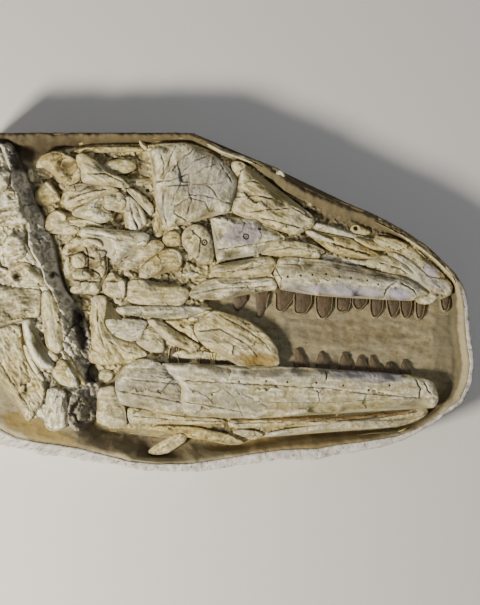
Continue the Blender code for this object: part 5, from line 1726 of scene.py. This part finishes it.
@dataclass
class Slab:
    """The matrix, with the marks of preparation, in its plaster jacket.

    Bare rock overlaps the jacket's brim, and the brim drops where it is bare. The jacket's
    wall is dented, and rock dust lies on its upper part. Left of the cliff, and on the rim
    above the rim level, the rock is rougher.
    """

    step: float = 3.9 * MM
    jacket_points: int = 1150
    jacket_rows: int = 26
    lip_rows: int = 5
    lip: float = 4 * MM
    overlap: float = 5.5 * MM
    brim: float = 16 * MM
    bare_drop: float = 8 * MM
    tuck: float = 0.025
    dent: float = 3.0 * MM
    crumb: float = 3.0 * MM
    cliff_x: float = -30.0
    rim_level: float = 112 * MM
    rough: float = 1.0 * MM
    left_rough: float = 4.0 * MM
    bare_rough: float = 1.4 * MM
    sink: float = 3 * MM
    bare_sink: float = 2 * MM
    dust: str = "6F6143"

    def build(self) -> list[bpy.types.Object]:
        """Builds the matrix and the jacket.

        Returns:
            The finished pieces.
        """
        return [self.matrix(), self.jacket()]

    def detail(self) -> Detail:
        """Gives the strokes, spots and stains of the matrix.

        Returns:
            Its detail.
        """
        return Detail(
            grain=-12, cells=0, rough=1.0,
            strokes=(Stroke(((-33, -33.6), (-22, -34.8), (-10, -35.6)), 0.8, 0.3, 0.3),
                     Stroke(((15, -5), (28, -7), (44, -6), (55, -9)), 1.6, -0.16, 0),
                     Stroke(((30, -9), (42, -10.4), (54, -9.6)), 1.2, -0.12, 0),
                     Stroke(((24, -12), (34, -11), (50, -13)), 1.4, -0.12, 0)),
            stains=(
                Stain(-48, -33, 12, 3, "96803F", 0.75, -20),
                Stain(-26, -37, 15, 2.4, "726449", 0.75),
                Stain(20, -36.6, 28, 2.6, "846B36", 0.7, 3), Stain(-10, -40, 10, 2.2, EARTH, 0.5),
                Stain(50, -30, 8, 2.4, "6B5728", 0.6, 30), Stain(58, -12, 3.4, 14, "8A8468", 0.6),
                Stain(30, 25, 34, 6, "655A3F", 0.9, -27), Stain(-24, 42.5, 34, 4, "65583B", 0.9),
                # The dark stain at the upper left corner is painted shade; the grey ones are the
                # cliff's rock.
                Stain(-50, 41, 15, 5, "463B29", 0.85), Stain(-44, 10, 4, 26, "837C69", 0.9, 18),
                Stain(-37, -22, 3.4, 12, "7A735F", 0.9),
                Stain(30, -8, 20, 4, "A08F66", 0.35, -4), Stain(56, 4, 3, 8, "75663F", 0.6, 30),
            ))

    def matrix(self) -> bpy.types.Object:
        """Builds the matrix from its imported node, its bare edge spread over the jacket's brim.

        Returns:
            The finished matrix.
        """
        mesh = joined_copy(frame["nodes"]["matrix"])
        loop = underside_loops(mesh)[0]
        if area(loop) < 0:
            loop = loop[::-1]
        base = min(v.co.z for v in mesh.verts)
        edge = worn_outline(loop, self.step, 0, 2.0)
        run = np.roll(edge, -1, 0) - np.roll(edge, 1, 0)
        outward = np.column_stack([run[:, 1], -run[:, 0]])
        outward /= np.maximum(np.hypot(*outward.T), 1e-9)[:, None]
        ragged = np.clip(0.65 + 0.5 * wave(edge, 30 * MM, 3.0, 3), 0.1, 1)
        spread = ragged * (0.3 + 0.7 * bareness(edge))
        edge = edge + outward * (self.overlap * spread)[:, None]
        piece = Relief("matrix_relief", edge, base, self.step, surface_of(mesh))
        piece.height = piece.smoothed(piece.height, 3)
        steep = np.abs(piece.height - piece.smoothed(piece.height, 30))
        wild = np.clip(piece.smoothed(steep, 8) / (6 * MM), 0, 1)
        left = np.clip((self.cliff_x - piece.places[:, 0] / CM) / 6, 0, 1)
        rugged = wave(piece.places, 30 * MM, 41, 5)
        detail = self.detail()
        piece.weather(detail, 31.0, 0.7)
        bare = bareness(piece.places)
        piece.height += wild * rugged * (
            self.rough + self.left_rough * left + self.bare_rough * bare)
        crumbs = wave(piece.places, 14 * MM, 47, 4) + 0.6 * rugged - 0.5
        high = np.clip((piece.height - self.rim_level) / (12 * MM), 0, 1)
        piece.height += high * bare * self.crumb * crumbs
        near = np.clip(1 - piece.depth / self.brim, 0, 1)
        piece.height -= (self.bare_sink * bare + self.sink) * near ** 2
        piece.carve(detail)
        piece.tuck = self.tuck
        solid = piece.finish(Finish.CHALK, low=30 * MM)
        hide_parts("matrix")
        mesh.free()
        return solid

    def jacket(self) -> bpy.types.Object:
        """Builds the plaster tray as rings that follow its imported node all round.

        Returns:
            The finished jacket.
        """
        mesh = joined_copy(frame["nodes"]["plaster_jacket"])
        tree = BVHTree.FromBMesh(mesh)
        top = max(v.co.z for v in mesh.verts)
        floor = min(v.co.z for v in mesh.verts if v.co.z > 5 * MM)
        mesh.free()
        rows = self.wall(tree, top)
        inner = self.ring(tree, top - self.lip, False)
        brim = rows[-1]
        for step in range(1, self.lip_rows + 1):
            share = step / self.lip_rows
            row = brim * (1 - share) + inner * share
            row[:, 2] = top + 1.2 * MM * wave(row[:, :2], 16 * MM, 3, 4) * (share < 1)
            row[:, 2] -= self.bare_drop * bareness(brim)
            rows.append(row)
        for height in (0.6 * top, floor):
            rows.append(np.column_stack([inner[:, :2], np.full(len(inner), height)]))
        count, last = self.jacket_points, (len(rows) - 1) * self.jacket_points
        faces = [(start + i, start + (i + 1) % count, start + count + (i + 1) % count,
                  start + count + i) for start in range(0, last, count) for i in range(count)]
        faces += [tuple(reversed(range(count))), tuple(last + i for i in range(count))]
        points = np.vstack(rows)
        points[:, 2] = np.clip(points[:, 2], 0, HIGHEST)
        piece = dress("jacket_relief", points, faces, Finish.PLASTER, self.marks(points), flat=2)
        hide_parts("plaster_jacket")
        return piece

    def ring(self, tree: BVHTree, height: float, outer: bool) -> np.ndarray:
        """Finds the jacket's wall all round at one height.

        Args:
            tree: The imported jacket's faces.
            height: The height to look at.
            outer: Whether to find the outer face or the inner one.

        Returns:
            One point for each direction from the middle of the slab.
        """
        found = []
        for turn in np.linspace(0, math.tau, self.jacket_points, endpoint=False):
            way = Vector((math.cos(turn), math.sin(turn), 0))
            start = way * (2.0 if outer else 0.0) + Vector((0, 0, height))
            found.append(tree.ray_cast(start, -way if outer else way)[0][:])
        return np.array(found)

    def wall(self, tree: BVHTree, top: float) -> list[np.ndarray]:
        """Follows the jacket's outer wall from its foot to its brim, dented by hand.

        Args:
            tree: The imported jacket's faces.
            top: Height of the brim.

        Returns:
            Rings of points, from the foot up.
        """
        rows = []
        for height in np.linspace(0.5 * MM, top - 0.8 * MM, self.jacket_rows):
            row = self.ring(tree, height, True)
            travel = np.cumsum(np.hypot(*np.diff(row[:, :2], axis=0, append=row[:1, :2]).T))
            wrapped = np.column_stack([travel, row[:, 2]])
            lumps = (0.5 + 0.6 * wave(wrapped, 50 * MM, 5, 4)
                     + 0.35 * wave(wrapped, 9 * MM, 9, 2))
            pull = self.dent * np.clip(lumps, 0, 1.4) / np.hypot(*row[:, :2].T)
            row[:, :2] *= (1 - pull)[:, None]
            row[:, 2] -= self.bare_drop * bareness(row) * (height / top) ** 4
            rows.append(row)
        rows[0][:, 2] = 0.0
        return rows

    def marks(self, points: np.ndarray) -> dict[str, np.ndarray]:
        """Gives what the plaster's material reads: relief, voids and the rock dust on it.

        Args:
            points: The jacket's points.

        Returns:
            Relief, crack, paint and grain at each point.
        """
        slanted = points[:, :2] + 0.6 * points[:, 2:]
        dust = np.clip(0.35 + 0.9 * wave(slanted, 20 * MM, 8, 4), 0, 1) * 0.35
        paint = np.array([linear(self.dust)] * len(points))
        paint[:, 3] = np.clip(bareness(points) * 0.95 + dust, 0, 1) * np.clip(
            (points[:, 2] / CM - 4) / 6, 0.25, 1)
        return {"relief": np.clip(0.7 * wave(slanted, 12 * MM, 6, 4), -1, 1),
                "crack": np.clip(5 * wave(slanted, 8 * MM, 12, 3) - 2.6, 0, 0.7),
                "paint": paint, "grain": points}


@dataclass
class Grit:
    """Loose crumbs of rock left on the slab, scattered by a geometry node tree."""

    density: float = 2600.0
    smallest: float = 0.5 * MM
    largest: float = 1.8 * MM
    level: float = 0.6
    most_turn: float = 6.28
    seed: int = 11

    def build(self, ground: bpy.types.Object) -> bpy.types.Object:
        """Scatters the crumbs over the matrix.

        Args:
            ground: The finished matrix.

        Returns:
            The crumbs as one plain mesh, riding on the slab.
        """
        holder = bpy.data.objects.new("grit_ground", ground.data.copy())
        bpy.context.collection.objects.link(holder)
        tree = self.tree()
        modifier = holder.modifiers.new("scatter", "NODES")
        modifier.node_group = tree
        sizes = {"Density": self.density, "Smallest": self.smallest, "Largest": self.largest,
                 "Seed": self.seed, "Finish": Shelf.material(Finish.CHALK)}
        for item in tree.interface.items_tree:
            if item.item_type == "SOCKET" and item.in_out == "INPUT" and item.name in sizes:
                modifier[item.identifier] = sizes[item.name]
        graph = bpy.context.evaluated_depsgraph_get()
        plain = bpy.data.meshes.new_from_object(holder.evaluated_get(graph))
        bpy.data.objects.remove(holder)
        plain.name = "grit"
        piece = bpy.data.objects.new("grit", plain)
        bpy.context.collection.objects.link(piece)
        LOG.info("grit: %d faces", len(plain.polygons))
        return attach(piece, "root")

    def tree(self) -> bpy.types.NodeTree:
        """Builds the node tree that scatters crumbs on upward faces.

        Returns:
            The tree, with the crumbs' density, sizes, seed and finish as inputs.
        """
        tree = bpy.data.node_groups.new("scatter_grit", "GeometryNodeTree")
        face = tree.interface
        face.new_socket("Geometry", in_out="INPUT", socket_type="NodeSocketGeometry")
        for name in ("Density", "Smallest", "Largest"):
            face.new_socket(name, in_out="INPUT", socket_type="NodeSocketFloat")
        face.new_socket("Seed", in_out="INPUT", socket_type="NodeSocketInt")
        face.new_socket("Finish", in_out="INPUT", socket_type="NodeSocketMaterial")
        face.new_socket("Geometry", in_out="OUTPUT", socket_type="NodeSocketGeometry")
        given = add_node(tree, "NodeGroupInput").outputs
        normal = add_node(tree, "GeometryNodeInputNormal")
        split = add_node(tree, "ShaderNodeSeparateXYZ", None, {0: normal.outputs[0]})
        upward = add_node(tree, "FunctionNodeCompare", {"operation": "GREATER_THAN"}, {
            0: split.outputs[2], 1: self.level})
        points = add_node(tree, "GeometryNodeDistributePointsOnFaces", None, {
            "Mesh": given["Geometry"], "Selection": upward.outputs[0],
            "Density": given["Density"], "Seed": given["Seed"]})
        crumb = add_node(tree, "GeometryNodeMeshIcoSphere", None, {
            "Radius": 1.0, "Subdivisions": 1})
        size = add_node(tree, "FunctionNodeRandomValue", {"data_type": "FLOAT"}, {
            2: given["Smallest"], 3: given["Largest"], "Seed": given["Seed"]})
        turn = add_node(tree, "FunctionNodeRandomValue", {"data_type": "FLOAT_VECTOR"}, {
            0: (0, 0, 0), 1: (self.most_turn,) * 3, "Seed": given["Seed"]})
        placed = add_node(tree, "GeometryNodeInstanceOnPoints", None, {
            "Points": points.outputs["Points"], "Instance": crumb.outputs["Mesh"],
            "Rotation": turn.outputs[0], "Scale": size.outputs[1]})
        real = add_node(tree, "GeometryNodeRealizeInstances", None, {
            "Geometry": placed.outputs[0]})
        dressed = add_node(tree, "GeometryNodeSetMaterial", None, {
            "Geometry": real.outputs[0], "Material": given["Finish"]})
        add_node(tree, "NodeGroupOutput", None, {0: dressed.outputs[0]})
        return tree


# The studio


@dataclass
class Studio:
    """Pale floor, soft lights and the camera that looks straight down on the slab.

    A small strong key lamp low at the left gives the relief its shadows, as in the photograph,
    and a wide weak one from the other side keeps them open.
    """

    frame_height: float = 1.573
    centre: Point = (0.0416, -0.0013)
    plane: float = 0.11
    distance: float = 6.0
    sensor: float = 36.0
    floor_reach: float = 8.0
    paper: str = "D9D8D5"
    sky: str = "E9E9E9"
    glow: float = 0.23

    def build(self) -> None:
        """Sets up the floor, the lights and the camera."""
        self.floor()
        self.lamp("key", (-2.5, -1.5, 2.1), 0.7, 246.0, "FFF6E6")
        self.lamp("fill", (1.6, 2.2, 3.4), 2.4, 24.0, "EEF2FF")
        world = bpy.data.worlds.new("studio")
        bpy.context.scene.world = world
        world.use_nodes = True
        background = world.node_tree.nodes["Background"]
        background.inputs["Color"].default_value = linear(self.sky)
        background.inputs["Strength"].default_value = self.glow
        self.camera()

    def floor(self) -> None:
        """Lays the floor."""
        far = self.floor_reach
        mesh = bpy.data.meshes.new("studio_floor")
        mesh.from_pydata([(x * far, y * far, 0) for x, y in ((-1, -1), (1, -1), (1, 1), (-1, 1))],
                         [], [(0, 1, 2, 3)])
        made = bpy.data.materials.new("floor_paper")
        made.use_nodes = True
        shader = made.node_tree.nodes["Principled BSDF"]
        shader.inputs["Base Color"].default_value = linear(self.paper)
        shader.inputs["Roughness"].default_value = 0.9
        mesh.materials.append(made)
        ground = bpy.data.objects.new("studio_floor", mesh)
        bpy.context.collection.objects.link(ground)

    def lamp(self, name: str, place: tuple[float, float, float], size: float, power: float,
             colour: str) -> None:
        """Hangs a soft lamp that points at the slab.

        Args:
            name: Name of the lamp.
            place: Where it hangs, in metres.
            size: Width of its square face, in metres.
            power: Its power in watts.
            colour: Its colour in hex digits.
        """
        data = bpy.data.lights.new(name, "AREA")
        data.size, data.energy, data.color = size, power, linear(colour)[:3]
        lamp = bpy.data.objects.new(name, data)
        lamp.location = place
        aim = Vector((0, 0, self.plane)) - Vector(place)
        lamp.rotation_euler = aim.to_track_quat("-Z", "Y").to_euler()
        bpy.context.collection.objects.link(lamp)

    def camera(self) -> None:
        """Places the camera so that the frame is as wide as the photograph's."""
        data = bpy.data.cameras.new("camera")
        data.sensor_width = self.sensor
        data.lens = self.sensor * self.distance / self.frame_height
        camera = bpy.data.objects.new("camera", data)
        camera.location = (*self.centre, self.plane + self.distance)
        bpy.context.collection.objects.link(camera)
        bpy.context.scene.camera = camera


def main() -> None:
    """Builds the slab, the bones and the studio, in that order."""
    logging.basicConfig(level=logging.INFO, format="%(name)s: %(message)s")
    matrix, jacket = Slab().build()
    LOG.info("slab: %s and %s", matrix.name, jacket.name)
    under = [matrix]
    for group in (LowerJaw(), UpperJaw(), Palate(), FaceAndRoof(), BackOfSkull(),
                  NeckAndShoulder()):
        pieces = group.build()
        under += pieces
        LOG.info("%s: %d pieces", type(group).__name__, len(pieces))
    slab = ("matrix", "plaster_jacket")
    ground, bones = tops(slab[:1]), tops(n for n in frame["nodes"] if n not in slab)
    under += [bed.build(ground, bones) for bed in (*BEDS, *TOOTH_BEDS)]
    LOG.info("%d loose fragments", len(FRAGMENTS.pieces))
    FRAGMENTS.build(under)
    Grit().build(matrix)
    Studio().build()


if __name__ == "__main__":
    main()
